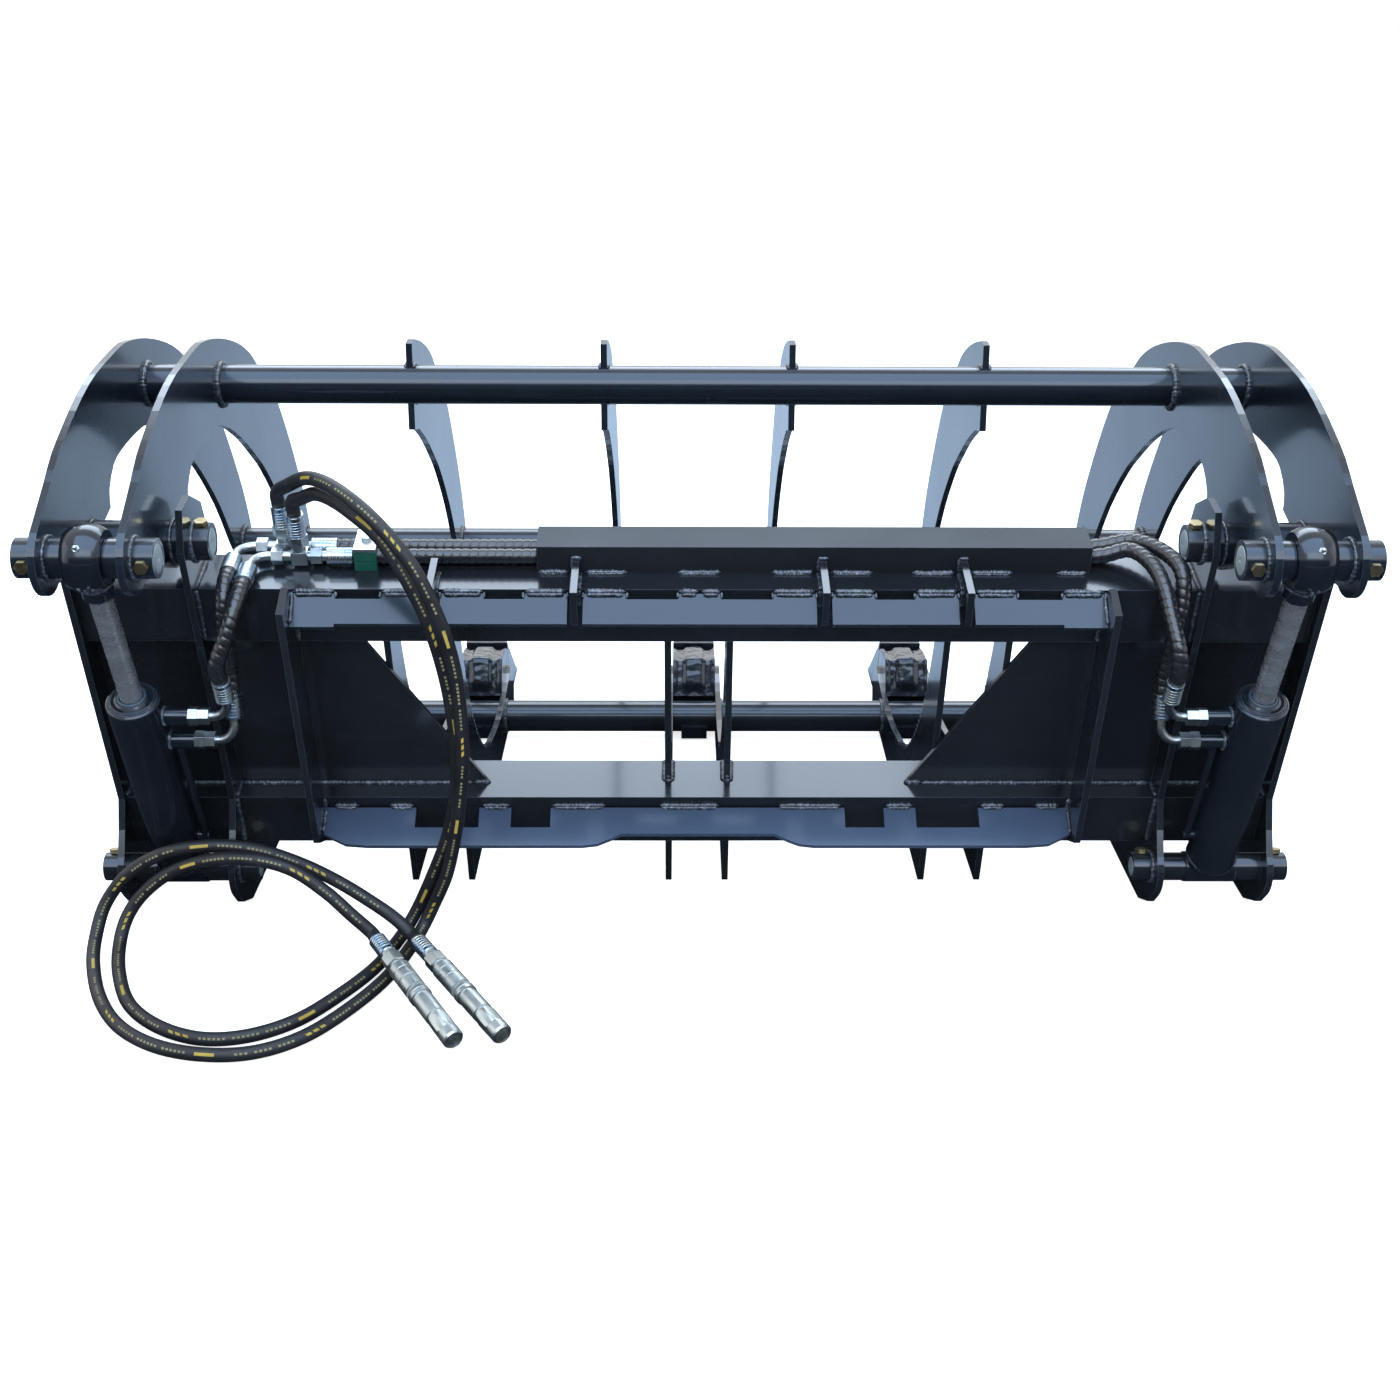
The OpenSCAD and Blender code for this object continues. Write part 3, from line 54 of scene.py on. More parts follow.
# Driving dimensions, in mm unless a name ends in _M.
# X runs across, Y from rear to front and Z up the attach plate.
REST_TILT = math.radians(14.25)
BEAM_S = 90
BEAM_GAP = 295
PLATE_T = 10
LIP_HALF = 576
BAY_GAP = 226
SIDE_PITCH = 170
ARM_PITCH = 113
PAIR_X = 414
PAIR_PITCH = 92
SPINE_Y = 41
TINE_REACH = 735
HEEL_DROP = 122
TOOTH_L = 142
ARM_REACH = 785
LOBE_R = 50
INNER_TINE_X, OUTER_TINE_X = 146, 446
PIVOT_BOSS_L, BASE_BOSS_L, ROD_BOSS_L = 24, 30, 30
BARREL_R = 38
BARREL_L = 366
COVER_L = 794
WRAP = 23.0
FERRULE_D = 25.0
HOSE_R_M = 0.010
SEAT_GAP = 0.3

# Places worked out from them
UPPER_BOT = BEAM_S + BEAM_GAP
UPPER_TOP = UPPER_BOT + BEAM_S
PIVOT = (SPINE_Y, UPPER_TOP + 53)
ROD_PIN = (PIVOT[0] - 168, PIVOT[1] + 79)
BASE_PIN = (-40, -18)
BAY_X = LIP_HALF + BAY_GAP
HALF_T = PLATE_T / 2


def faces_of(x):
    """The two faces of a plate whose middle is at x."""
    return x - HALF_T, x + HALF_T


IN_NEAR, IN_FAR = faces_of(BAY_X - SIDE_PITCH / 2)
OUT_NEAR, OUT_FAR = faces_of(BAY_X + SIDE_PITCH / 2)
ARM_IN_NEAR, ARM_IN_FAR = faces_of(BAY_X - ARM_PITCH / 2)
ARM_OUT_NEAR, ARM_OUT_FAR = faces_of(BAY_X + ARM_PITCH / 2)
PAIR_IN, PAIR_OUT = faces_of(PAIR_PITCH / 2)
GUSSET_XS = (0.306 * LIP_HALF, 0.656 * LIP_HALF)
COVER_START = -0.29 * BAY_X
COVER_END = COVER_START + COVER_L
CROSS_TUBE = (SPINE_Y + 0.781 * TINE_REACH, -0.3065 * TINE_REACH)
JAW_TOP = (PIVOT[0] + 0.459 * ARM_REACH, PIVOT[1] + 0.080 * ARM_REACH)
JAW_NOSE = (PIVOT[0] + 0.929 * ARM_REACH, PIVOT[1] - 0.585 * ARM_REACH)
TOOTH_Y = SPINE_Y + TINE_REACH + 0.02 * TINE_REACH
TIP_Y = TOOTH_Y + TOOTH_L


def leaned(y, z):
    """Y and Z square to the attach plate, turned into the standing frame."""
    c, s = math.cos(REST_TILT), math.sin(REST_TILT)
    return c * y - s * z, s * y + c * z


def ground(y):
    """Height of the ground under a place at y, square to the attach plate."""
    return -HEEL_DROP - (y - SPINE_Y) * math.tan(REST_TILT)


LIFT = -leaned(SPINE_Y, -HEEL_DROP)[1]
REAR = leaned(*ROD_PIN)[0] - LOBE_R
FRONT = leaned(TIP_Y, ground(TIP_Y))[0]
ORIGIN_Y = -(REAR + FRONT) / 2


def placed(x, y, z):
    """A point square to the attach plate, in mm, to the standing frame in metres."""
    a, b = leaned(y, z)
    return Vector((x, a + ORIGIN_Y, b + LIFT)) / 1000


def turned(x, y, z):
    """A direction square to the attach plate, to the standing frame."""
    a, b = leaned(y, z)
    return Vector((x, a, b))


# The cylinders lean from the base pins to the rod pins
CYL_RUN = (ROD_PIN[0] - BASE_PIN[0], ROD_PIN[1] - BASE_PIN[1])
CYL_ANGLE = math.atan2(CYL_RUN[1], CYL_RUN[0])
CYL_L = math.hypot(*CYL_RUN)
CYL_COS, CYL_SIN = math.cos(CYL_ANGLE - math.pi / 2), math.sin(CYL_ANGLE - math.pi / 2)
CYL_AXIS = turned(0, -CYL_SIN, CYL_COS).normalized()


def cyl(side, x, y, z):
    """A point in a cylinder's own frame: Z runs from the base pin to the rod pin."""
    return placed(side * (BAY_X + x), BASE_PIN[0] + y * CYL_COS - z * CYL_SIN,
                  BASE_PIN[1] + y * CYL_SIN + z * CYL_COS)


# Camera, solved from the photo
cam_data = bpy.data.cameras.new("camera")
cam_data.lens = 44.79
cam_data.sensor_width = 36
cam_data.clip_end = 100
cam = bpy.data.objects.new("camera", cam_data)
bpy.context.scene.collection.objects.link(cam)
forward = Vector((0.0123, 0.9212, -0.3888)).normalized()
right = Vector((0.9999, -0.0109, 0.0056))
right = (right - right.dot(forward) * forward).normalized()
turn = Matrix((right, right.cross(forward), -forward)).transposed().to_4x4()
cam.matrix_world = Matrix.Translation(Vector((-0.0299, -2.7843, 1.3839))) @ turn
bpy.context.scene.camera = cam


# Mesh helpers
def add_mesh(name, verts, faces, mat, smooth=True, uvs=None):
    me = bpy.data.meshes.new(name)
    me.from_pydata([tuple(v) for v in verts], [], faces)
    if uvs is not None:
        layer = me.uv_layers.new(name="UVMap")
        loops = np.empty(len(me.loops), dtype=np.int32)
        me.loops.foreach_get("vertex_index", loops)
        layer.data.foreach_set("uv", np.asarray(uvs, float)[loops].ravel())
    me.update()
    if smooth:
        me.polygons.foreach_set("use_smooth", [True] * len(me.polygons))
    ob = bpy.data.objects.new(name, me)
    bpy.context.scene.collection.objects.link(ob)
    me.materials.append(mat)
    return ob


def sharp(ob, degrees):
    ob.data.set_sharp_from_angle(angle=math.radians(degrees))


def wall_faces(rings, count):
    """Quads between rings of count vertices each, stored ring after ring."""
    faces = []
    for first in range(0, (rings - 1) * count, count):
        for k in range(count):
            after = first + (k + 1) % count
            faces.append((first + k, after, after + count, first + k + count))
    return faces


def cap_faces(rings, count):
    return [tuple(reversed(range(count))), tuple(range((rings - 1) * count, rings * count))]


def merged(parts):
    """One list of vertices and one of faces from several."""
    verts, faces = [], []
    for v, f in parts:
        first = len(verts)
        verts.extend(v)
        faces.extend([tuple(i + first for i in face) for face in f])
    return verts, faces


def join_parts(name, parts, mat, body, smooth=True):
    verts, faces = merged(parts)
    ob = add_mesh(name, verts, faces, mat, smooth)
    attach(ob, body)
    return ob


def blend_point(a, b, c, d, t):
    return 0.5 * (2 * b + (c - a) * t + (2 * a - 5 * b + 4 * c - d) * t * t
                  + (3 * b - a - 3 * c + d) * t ** 3)


def smooth_path(points, steps):
    """A smooth curve through the points, with steps points to each span."""
    p = [np.array(q, float) for q in points]
    out = []
    for i in range(len(p) - 1):
        before, after = p[max(i - 1, 0)], p[min(i + 2, len(p) - 1)]
        out += [blend_point(before, p[i], p[i + 1], after, k / steps) for k in range(steps)]
    return np.array(out + [p[-1]])


def resample(p, step):
    """Points at equal steps along a path, and how far along it each one lies."""
    s = np.concatenate([[0], np.cumsum(np.linalg.norm(np.diff(p, axis=0), axis=1))])
    t = np.linspace(0, s[-1], max(2, int(round(s[-1] / step))) + 1)
    return np.stack([np.interp(t, s, p[:, k]) for k in range(3)], axis=1), t


def path_frames(p):
    """Tangents of a path, and two directions square to them that don't twist."""
    t = np.gradient(p, axis=0)
    t /= np.linalg.norm(t, axis=1)[:, None]
    n = np.zeros_like(t)
    v = np.array([0.3, 0.5, 0.8])
    for i in range(len(p)):
        v = v - v.dot(t[i]) * t[i]
        v /= np.linalg.norm(v)
        n[i] = v
    return t, n, np.cross(t, n)


def swept(p, radius, sides):
    """Vertices and faces of a tube. radius is an array, one row for each ring and one column a side."""
    _, n, b = path_frames(p)
    a = np.linspace(0, TURN, sides, endpoint=False)
    ring_dirs = np.cos(a)[None, :, None] * n[:, None, :] + np.sin(a)[None, :, None] * b[:, None, :]
    verts = (p[:, None, :] + radius[:, :, None] * ring_dirs).reshape(-1, 3)
    return verts, wall_faces(len(p), sides) + cap_faces(len(p), sides)


HEX_SHARE = 0.875


def lathe(name, origin, axis, profile, mat, body, segs=40, hexes=(), ring_shaped=False):
    """A turned piece: profile is [(along, radius)] in mm, and hexes are spans of it with six flats."""
    z = Vector(axis).normalized()
    x = z.orthogonal().normalized()
    y = z.cross(x)
    verts = []
    for h, r in profile:
        flat = any(h0 - 1e-6 <= h <= h1 + 1e-6 and r > 0.1 for h0, h1 in hexes)
        for k in range(segs):
            a = TURN * k / segs
            reach = r
            if flat:
                off_flat = (a % (math.pi / 3)) - math.pi / 6
                reach = min(r, HEX_SHARE * r / max(math.cos(off_flat), 0.1))
            verts.append(origin + (z * h + (x * math.cos(a) + y * math.sin(a)) * reach) / 1000)
    faces = wall_faces(len(profile), segs)
    if ring_shaped:
        last = (len(profile) - 1) * segs
        faces += [(last + k, last + (k + 1) % segs, (k + 1) % segs, k) for k in range(segs)]
    else:
        faces += cap_faces(len(profile), segs)
    ob = add_mesh(name, verts, faces, mat)
    sharp(ob, 32)
    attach(ob, body)
    return ob


# Materials
class Mat:
    """A principled material whose sockets are fed by short calls."""

    def __init__(self, name):
        self.material = bpy.data.materials.new(name)
        self.material.use_nodes = True
        self.tree = self.material.node_tree
        self.tree.nodes.clear()
        out = self.node("ShaderNodeOutputMaterial")
        self.shader = self.node("ShaderNodeBsdfPrincipled")
        self.link(self.shader.outputs[0], out.inputs[0])
        self.coords = self.node("ShaderNodeTexCoord").outputs["Object"]

    def node(self, kind, **settings):
        n = self.tree.nodes.new(kind)
        for k, v in settings.items():
            setattr(n, k, v)
        return n

    def link(self, a, b):
        self.tree.links.new(a, b)

    def feed(self, socket, value):
        """A number, a colour or another node's output into a socket."""
        if isinstance(value, (int, float)):
            socket.default_value = value
        elif isinstance(value, tuple):
            socket.default_value = (*value, 1)
        else:
            self.link(value, socket)

    def fill(self, node, **values):
        """The sockets of a node by their names, with _ for a space."""
        for k, v in values.items():
            self.feed(node.inputs[k.replace("_", " ")], v)

    def noise(self, scale, detail=3, rough=0.5, stretch=None):
        n = self.node("ShaderNodeTexNoise")
        source = self.coords
        if stretch:
            mapping = self.node("ShaderNodeMapping")
            mapping.inputs["Scale"].default_value = stretch
            self.link(source, mapping.inputs["Vector"])
            source = mapping.outputs[0]
        self.fill(n, Scale=scale, Detail=detail, Roughness=rough, Vector=source)
        return n.outputs["Fac"]

    def ramp(self, fac, stops):
        r = self.node("ShaderNodeValToRGB")
        elements = r.color_ramp.elements
        while len(elements) < len(stops):
            elements.new(0.5)
        for element, (position, colour) in zip(elements, stops):
            element.position = position
            element.color = (*colour, 1)
        self.link(fac, r.inputs[0])
        return r.outputs[0]

    def span(self, fac, low, high, start=0.3, end=0.7):
        r = self.node("ShaderNodeMapRange")
        self.fill(r, From_Min=start, From_Max=end, To_Min=low, To_Max=high, Value=fac)
        return r.outputs[0]

    def mix(self, fac, a, b):
        n = self.node("ShaderNodeMix", data_type="RGBA")
        self.link(fac, n.inputs[0])
        self.feed(n.inputs[6], a)
        self.feed(n.inputs[7], b)
        return n.outputs[2]

    def math(self, op, a, b):
        n = self.node("ShaderNodeMath", operation=op)
        self.feed(n.inputs[0], a)
        self.feed(n.inputs[1], b)
        return n.outputs[0]

    def rounded(self, radius):
        """Normals of the mesh with its sharp edges rounded."""
        bevel = self.node("ShaderNodeBevel", samples=4)
        bevel.inputs["Radius"].default_value = radius
        return bevel.outputs[0]

    def edges(self, radius, low, high):
        """high on worn outer edges, low on flats."""
        geometry = self.node("ShaderNodeNewGeometry")
        dot = self.node("ShaderNodeVectorMath", operation="DOT_PRODUCT")
        self.link(self.rounded(radius), dot.inputs[0])
        self.link(geometry.outputs["True Normal"], dot.inputs[1])
        return self.span(dot.outputs["Value"], high, low, 0.80, 0.995)

    def bump(self, *layers, edge=0.0):
        """layers are (height, strength, distance); edge rounds the sharp edges in the shading."""
        normal = self.rounded(edge) if edge else None
        for height, strength, distance in layers:
            b = self.node("ShaderNodeBump")
            self.fill(b, Strength=strength, Distance=distance, Height=height)
            if normal is not None:
                self.link(normal, b.inputs["Normal"])
            normal = b.outputs[0]
        self.link(normal, self.shader.inputs["Normal"])

    def put(self, **values):
        self.fill(self.shader, **values)
        return self.material


DUST = (0.045, 0.050, 0.058)
EDGE_TONE = (0.10, 0.115, 0.14)
WORN_EDGE_M, SOFT_EDGE_M, METAL_EDGE_M = 0.0016, 0.0012, 0.0006


def paint_material(name, dark, light, rough, coat=1.0, peel=0.02, grain=0.006):
    m = Mat(name)
    colour = m.ramp(m.noise(3.2, 4, 0.6), [(0.3, dark), (0.72, light)])
    colour = m.mix(m.span(m.noise(24, 5, 0.65), 0.0, 0.10, 0.56, 0.78), colour, DUST)
    worn = m.math("MULTIPLY", m.edges(WORN_EDGE_M, 0.0, 0.85),
                  m.span(m.noise(38, 4, 0.7), 0.25, 1.0, 0.34, 0.6))
    colour = m.mix(worn, colour, EDGE_TONE)
    roughness = m.math("ADD", m.span(m.noise(5, 3, 0.5), rough - 0.03, rough + 0.05),
                       m.math("MULTIPLY", worn, 0.12))
    m.bump((m.noise(11, 2), peel, 0.004), (m.noise(160, 3), grain, 0.0006), edge=SOFT_EDGE_M)
    # The blue Specular_Tint is painted sky blue in the paint's reflections.
    return m.put(Base_Color=colour, Roughness=roughness, Coat_Weight=coat, Coat_Roughness=0.12, Coat_IOR=1.4,
                 IOR=1.4, Specular_Tint=(0.66, 0.80, 1.0), Coat_Tint=(0.9, 0.95, 1.0))


def metal_material(name, base, alt, rough, scale=30, metallic=1.0, grain=0.05, stretch=None):
    m = Mat(name)
    colour = m.ramp(m.noise(scale, 4, 0.6, stretch), [(0.32, base), (0.7, alt)])
    roughness = m.span(m.noise(scale * 3, 4, 0.6, stretch), rough - 0.08, rough + 0.12)
    m.bump((m.noise(scale * 9, 3, 0.5, stretch), grain, 0.0006), edge=METAL_EDGE_M)
    return m.put(Base_Color=colour, Roughness=roughness, Metallic=metallic)


def rubber_material(name, base, light, rough, bump=0.12, coat=0.0):
    m = Mat(name)
    colour = m.ramp(m.noise(22, 5, 0.6), [(0.35, base), (0.75, light)])
    m.bump((m.noise(420, 3), bump, 0.0006), (m.noise(60, 2), 0.06, 0.001))
    return m.put(Base_Color=colour, Roughness=m.span(m.noise(70, 4), rough - 0.06, rough + 0.1),
                 Coat_Weight=coat, Coat_Roughness=0.3)


def weld_material():
    m = Mat("weld_bead")
    spatter_and_glints = m.noise(210, 4, 0.6)
    # Pale grey specks: partly real spatter, partly painted highlights on the bead's lumps.
    colour = m.ramp(spatter_and_glints, [(0.34, (0.010, 0.012, 0.016)), (0.54, (0.045, 0.055, 0.07)),
                              (0.72, (0.22, 0.25, 0.29))])
    m.bump((spatter_and_glints, 0.5, 0.0016), (m.noise(620, 2), 0.25, 0.0006))
    return m.put(Base_Color=colour, Roughness=m.span(m.noise(120, 3), 0.28, 0.55), Coat_Weight=0.8,
                 Coat_Roughness=0.15)


def ferrule_material():
    """Zinc plating with the blue and straw tints of its passivation."""
    m = Mat("ferrule_zinc")
    tint = m.ramp(m.noise(46, 3, 0.6), [(0.30, (0.42, 0.47, 0.51)), (0.45, (0.33, 0.50, 0.68)),
                                        (0.56, (0.58, 0.66, 0.72)), (0.68, (0.55, 0.54, 0.46)),
                                        (0.80, (0.46, 0.53, 0.60))])
    m.bump((m.noise(500, 3), 0.06, 0.0004))
    return m.put(Base_Color=tint, Roughness=m.span(m.noise(90, 3), 0.20, 0.38), Metallic=1.0)


def hose_material():
    """Wrapped rubber cover: the cloth's fine weave runs around the hose by its own coordinates."""
    m = Mat("hose_rubber")
    uv = m.node("ShaderNodeUVMap", uv_map="UVMap").outputs[0]
    threads = []
    for angle in (0.9, -0.9):
        mapping = m.node("ShaderNodeMapping")
        mapping.inputs["Rotation"].default_value = (0, 0, angle)
        mapping.inputs["Scale"].default_value = (520, 520, 1)
        m.link(uv, mapping.inputs["Vector"])
        wave = m.node("ShaderNodeTexWave")
        m.fill(wave, Scale=1.0, Distortion=0.4, Vector=mapping.outputs[0])
        threads.append(wave.outputs["Fac"])
    weave = m.math("MULTIPLY", threads[0], threads[1])
    colour = m.ramp(m.noise(18, 5, 0.6), [(0.35, (0.008, 0.008, 0.0095)), (0.75, (0.018, 0.018, 0.021))])
    colour = m.mix(m.span(weave, 0.0, 0.28, 0.2, 0.9), colour, (0.030, 0.030, 0.034))
    m.bump((weave, 0.22, 0.0005), (m.noise(40, 3), 0.08, 0.001))
    return m.put(Base_Color=colour, Roughness=m.span(m.noise(60, 4), 0.40, 0.58))


FRAME_DARK, FRAME_LIGHT = (0.0095, 0.010, 0.0105), (0.0155, 0.0165, 0.018)
MATERIALS = {
    "frame_paint": paint_material("frame_paint", FRAME_DARK, FRAME_LIGHT, 0.24),
    "jaw_paint": paint_material("jaw_paint", (0.007, 0.009, 0.012), (0.013, 0.016, 0.021), 0.26),
    "cylinder_paint": paint_material("cylinder_paint", (0.006, 0.007, 0.009), (0.011, 0.013, 0.016), 0.22),
    "tooth_paint": paint_material("tooth_paint", (0.008, 0.009, 0.011), (0.018, 0.02, 0.024), 0.26,
                                  peel=0.30, grain=0.35),
    "pin_steel": metal_material("pin_steel", (0.34, 0.38, 0.40), (0.46, 0.50, 0.52), 0.42, 26, grain=0.08),
    "rod_steel": metal_material("rod_steel", (0.42, 0.42, 0.43), (0.60, 0.60, 0.61), 0.28, 14, metallic=0.85,
                                grain=0.03, stretch=(1, 1, 4)),
    "zinc": metal_material("zinc", (0.40, 0.45, 0.48), (0.58, 0.63, 0.65), 0.34, 40, grain=0.05),
    "coupler_metal": metal_material("coupler_metal", (0.46, 0.50, 0.50), (0.56, 0.60, 0.59), 0.38, 20,
                                    grain=0.02),
    "bolt_gold": metal_material("bolt_gold", (0.42, 0.33, 0.17), (0.66, 0.56, 0.36), 0.36, 60, grain=0.06),
    "clamp_green": rubber_material("clamp_green", (0.003, 0.075, 0.045), (0.006, 0.115, 0.07), 0.42, 0.06),
    "hose_guard": rubber_material("hose_guard", (0.008, 0.0085, 0.010), (0.018, 0.019, 0.022), 0.26,
                                  0.05, 0.6),
    "hose_rubber": hose_material()}
WELD = weld_material()
FERRULE = ferrule_material()
YELLOW = rubber_material("mark_yellow", (0.36, 0.24, 0.03), (0.50, 0.35, 0.05), 0.5, 0.1)
PALE = rubber_material("mark_pale", (0.19, 0.165, 0.07), (0.30, 0.26, 0.12), 0.55, 0.1)
WIPER = rubber_material("wiper_blue", (0.035, 0.060, 0.085), (0.05, 0.085, 0.115), 0.4, 0.05)
DISC = metal_material("disc_grey", (0.40, 0.46, 0.47), (0.54, 0.60, 0.60), 0.48, 30, metallic=0.75,
                      grain=0.10)
COVER = paint_material("cover_paint", FRAME_DARK, FRAME_LIGHT, 0.42, coat=0.0)
# The lower lip's lighter slate-blue paint is a painted reflection of the sky, a lit copy of the frame's
# black paint.
LOWER_LIP_PAINTED_SKY = paint_material("lower_lip_painted_sky", (0.052, 0.068, 0.102), (0.062, 0.080, 0.118), 0.30)

for sub in frame["record"]["subparts"]:
    ob = NODES[sub["node"]]
    ob.data.materials.clear()
    ob.data.materials.append(MATERIALS[sub["material_slot"]])
for mat, names in ((MATERIALS["zinc"], ("tee_fittings", "line_fittings_left", "line_fittings_right")),
                   (DISC, ("pivot_pins", "base_pins", "rod_pins")),
                   (COVER, ("hose_cover",)), (LOWER_LIP_PAINTED_SKY, ("lower_lip",))):
    for name in names:
        NODES[name].data.materials[0] = mat

# Supply hoses and their couplers: routes in the standing frame, in mm
ROUTE_A = [
    (-578, -408, 708), (-546, -444, 728), (-512, -486, 734), (-476, -520, 724), (-442, -544, 704),
    (-412, -560, 676), (-384, -568, 638), (-364, -568, 592), (-348, -562, 540), (-338, -552, 478),
    (-336, -538, 408), (-338, -522, 340), (-348, -502, 262), (-362, -480, 188), (-380, -460, 116),
    (-404, -450, 58), (-420, -456, 26), (-434, -494, 13), (-458, -580, 11), (-498, -662, 11),
    (-550, -734, 11), (-612, -772, 11), (-682, -776, 11), (-752, -754, 11), (-814, -706, 11),
    (-862, -634, 11), (-898, -546, 13), (-912, -482, 24), (-902, -450, 62), (-862, -448, 112),
    (-802, -459, 152), (-732, -461, 166), (-664, -458, 158), (-600, -460, 136), (-538, -474, 110),
    (-480, -498, 84), (-450, -512, 68), (-416, -542, 50)]
ROUTE_B = [
    (-558, -428, 694), (-532, -452, 708), (-502, -478, 706), (-470, -502, 692), (-440, -520, 672),
    (-416, -532, 642), (-394, -536, 600), (-374, -534, 548), (-360, -524, 484), (-352, -510, 414),
    (-350, -494, 338), (-358, -476, 252), (-376, -458, 178), (-400, -444, 114), (-426, -436, 54),
    (-444, -444, 22), (-456, -476, 13), (-478, -550, 11), (-518, -626, 11), (-568, -694, 11),
    (-628, -732, 11), (-692, -738, 11), (-758, -708, 11), (-814, -652, 11), (-852, -572, 11),
    (-872, -502, 16), (-866, -470, 48), (-838, -460, 86), (-786, -468, 128), (-720, -482, 154),
    (-656, -494, 160), (-600, -504, 148), (-550, -518, 118), (-514, -530, 88), (-474, -552, 58)]
TIP_A, TIP_B = (-273, -737, 15), (-338, -752, 16)
LINE_MID = 0.837 * BEAM_S
LINE_PITCH = FERRULE_D + 2 * SEAT_GAP
NEAR_Y, FAR_Y = LINE_MID - LINE_PITCH / 2, LINE_MID + LINE_PITCH / 2
LINE_Z = UPPER_TOP + FERRULE_D / 2 + 3
NEAR_X = -(LIP_HALF - 0.12 * FERRULE_D)
FAR_X = NEAR_X - FERRULE_D - 1
STEM_L, STEM_NUT_L, STEM_CRIMP_L = 20, 16, 34
HOSE_SIDES = 20
HOSE_STEP_M = 0.006
ENTRY_L = 20
COUPLER_RUN = 100


def supply(tag, x, y, route, tip):
    """A supply hose from its ferrule over the tee, along its route and through its coupler."""
    start = placed(x, y, LINE_Z + STEM_L + STEM_NUT_L + STEM_CRIMP_L) * 1000
    end = Vector(route[-1])
    d = (Vector(tip) - end).normalized()
    pts = [start, start + turned(0, 0, 1) * ENTRY_L] + [Vector(p) for p in route[:-1]]
    pts += [end - d * ENTRY_L, end, end + d * COUPLER_RUN, end + d * 2 * COUPLER_RUN]
    fine, s = resample(smooth_path(pts, 6) / 1000, HOSE_STEP_M)
    verts, faces = swept(fine, np.full((len(fine), HOSE_SIDES), HOSE_R_M), HOSE_SIDES)
    around = np.linspace(0, TURN * HOSE_R_M, HOSE_SIDES, endpoint=False)
    uv = np.stack([np.repeat(s, HOSE_SIDES), np.tile(around, len(fine))], axis=1)
    ob = add_mesh("hose_" + tag, verts, faces, MATERIALS["hose_rubber"], uvs=uv)
    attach(ob, "frame")
    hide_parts("supply_hose_" + tag)
    return ob, fine, s, d, end


# Marks on the hoses, in metres along the hose and in radians around it
MARKS_FACE = (-0.03, -2.784, 1.384)
MARK_R_M = HOSE_R_M + 0.00022
MARK_PERIOD_M = 0.330
BLOCK_L_M = 0.027
DASH_PITCH_M, DASH_L_M = 0.0062, 0.0038
STRIPE_PITCH_M = 0.012
FREE_END_M = 0.40


def hose_marks(tag, fine, s, phase):
    """Plain yellow blocks and pale dashes on the side of the hose that faces the viewer at rest."""
    tangent = path_frames(fine)[0]
    look = np.array(MARKS_FACE) - fine
    look -= (look * tangent).sum(1)[:, None] * tangent
    look /= np.linalg.norm(look, axis=1)[:, None]
    side = np.cross(tangent, look)
    blocks, dashes = [], []

    def at(where, values):
        return np.array([np.interp(where, s, values[:, k]) for k in range(3)])

    def patch(s0, s1, half_angle, store, slant=0.0):
        rows = max(2, int((s1 - s0) / 0.004) + 1)
        verts = []
        for q in np.linspace(s0, s1, rows):
            centre, l0, d0, t0 = at(q, fine), at(q, look), at(q, side), at(q, tangent)
            for a in np.linspace(-half_angle, half_angle, 4):
                verts.append(centre + MARK_R_M * (math.cos(a) * l0 + math.sin(a) * d0) + slant * a * t0)
        faces = [(i * 4 + k, (i + 1) * 4 + k, (i + 1) * 4 + k + 1, i * 4 + k + 1)
                 for i in range(rows - 1) for k in range(3)]
        store.append((verts, faces))

    def dash_row(start, count, group):
        for k in range(count):
            if k % group != group - 1:
                patch(start + DASH_PITCH_M * k, start + DASH_PITCH_M * k + DASH_L_M, 0.15, dashes)

    q = phase
    while q < s[-1] - FREE_END_M:
        patch(q, q + BLOCK_L_M, 0.22, blocks)
        dash_row(q + 0.040, 20, 7)
        for k in range(3):
            patch(q + 0.176 + STRIPE_PITCH_M * k, q + 0.184 + STRIPE_PITCH_M * k, 0.18, blocks, slant=0.008)
        dash_row(q + 0.226, 13, 5)
        q += MARK_PERIOD_M
    return [join_parts("hose_blocks_" + tag, blocks, YELLOW, "frame"),
            join_parts("hose_dashes_" + tag, dashes, PALE, "frame")]


def crimp(length, r, grooves=6):
    """Profile of a crimped ferrule with its bite marks."""
    p = [(0, r - 1.2), (1.2, r)]
    for k in range(grooves):
        z = 3 + (length - 8) * (k + 0.5) / grooves
        p += [(z - 1.5, r), (z - 0.8, r - 0.7), (z + 0.8, r - 0.7), (z + 1.5, r)]
    return p + [(length - 1.5, r), (length, r - 1.5)]


# A coupler's turned body: distance along it and radius, with two hexagons
COUPLER_PROFILE = [
    (30, 10.2), (36, 11.8), (38, 11.8), (38.4, 10.6), (43, 10.6), (44, 13.4), (45.5, 15.4), (64.5, 15.4),
    (66, 13.4), (66.4, 11), (72, 11), (72.4, 14.8), (74, 16), (86, 16), (86.6, 15.3), (88.4, 15.3), (89, 16),
    (104, 16), (104.6, 15.1), (107, 15.1), (107.6, 16), (127, 16), (128, 14), (134, 14), (134.6, 15.9),
    (135.6, 16.5), (138, 16.5), (138.6, 15.8), (141, 15.8), (141.6, 16.5), (145, 16.5), (146, 14.2),
    (152, 14.2), (152.6, 15.2), (189, 15.2), (190, 13.6), (193, 13.6), (194, 14.8), (200, 15.8), (222, 15.8),
    (223, 14.2), (225, 14.2), (226, 15.4), (241, 15.4), (244, 13.4), (244, 10.6), (226, 10.2), (226, 0.05)]
COUPLER_HEXES = [(44, 66), (199, 222.5)]
KNURL_TEETH = 44
KNURL_FOOT, KNURL_TOP = (128.6, 133.4, 13.6, 0.8), (129, 133, 15.4, 0.35)


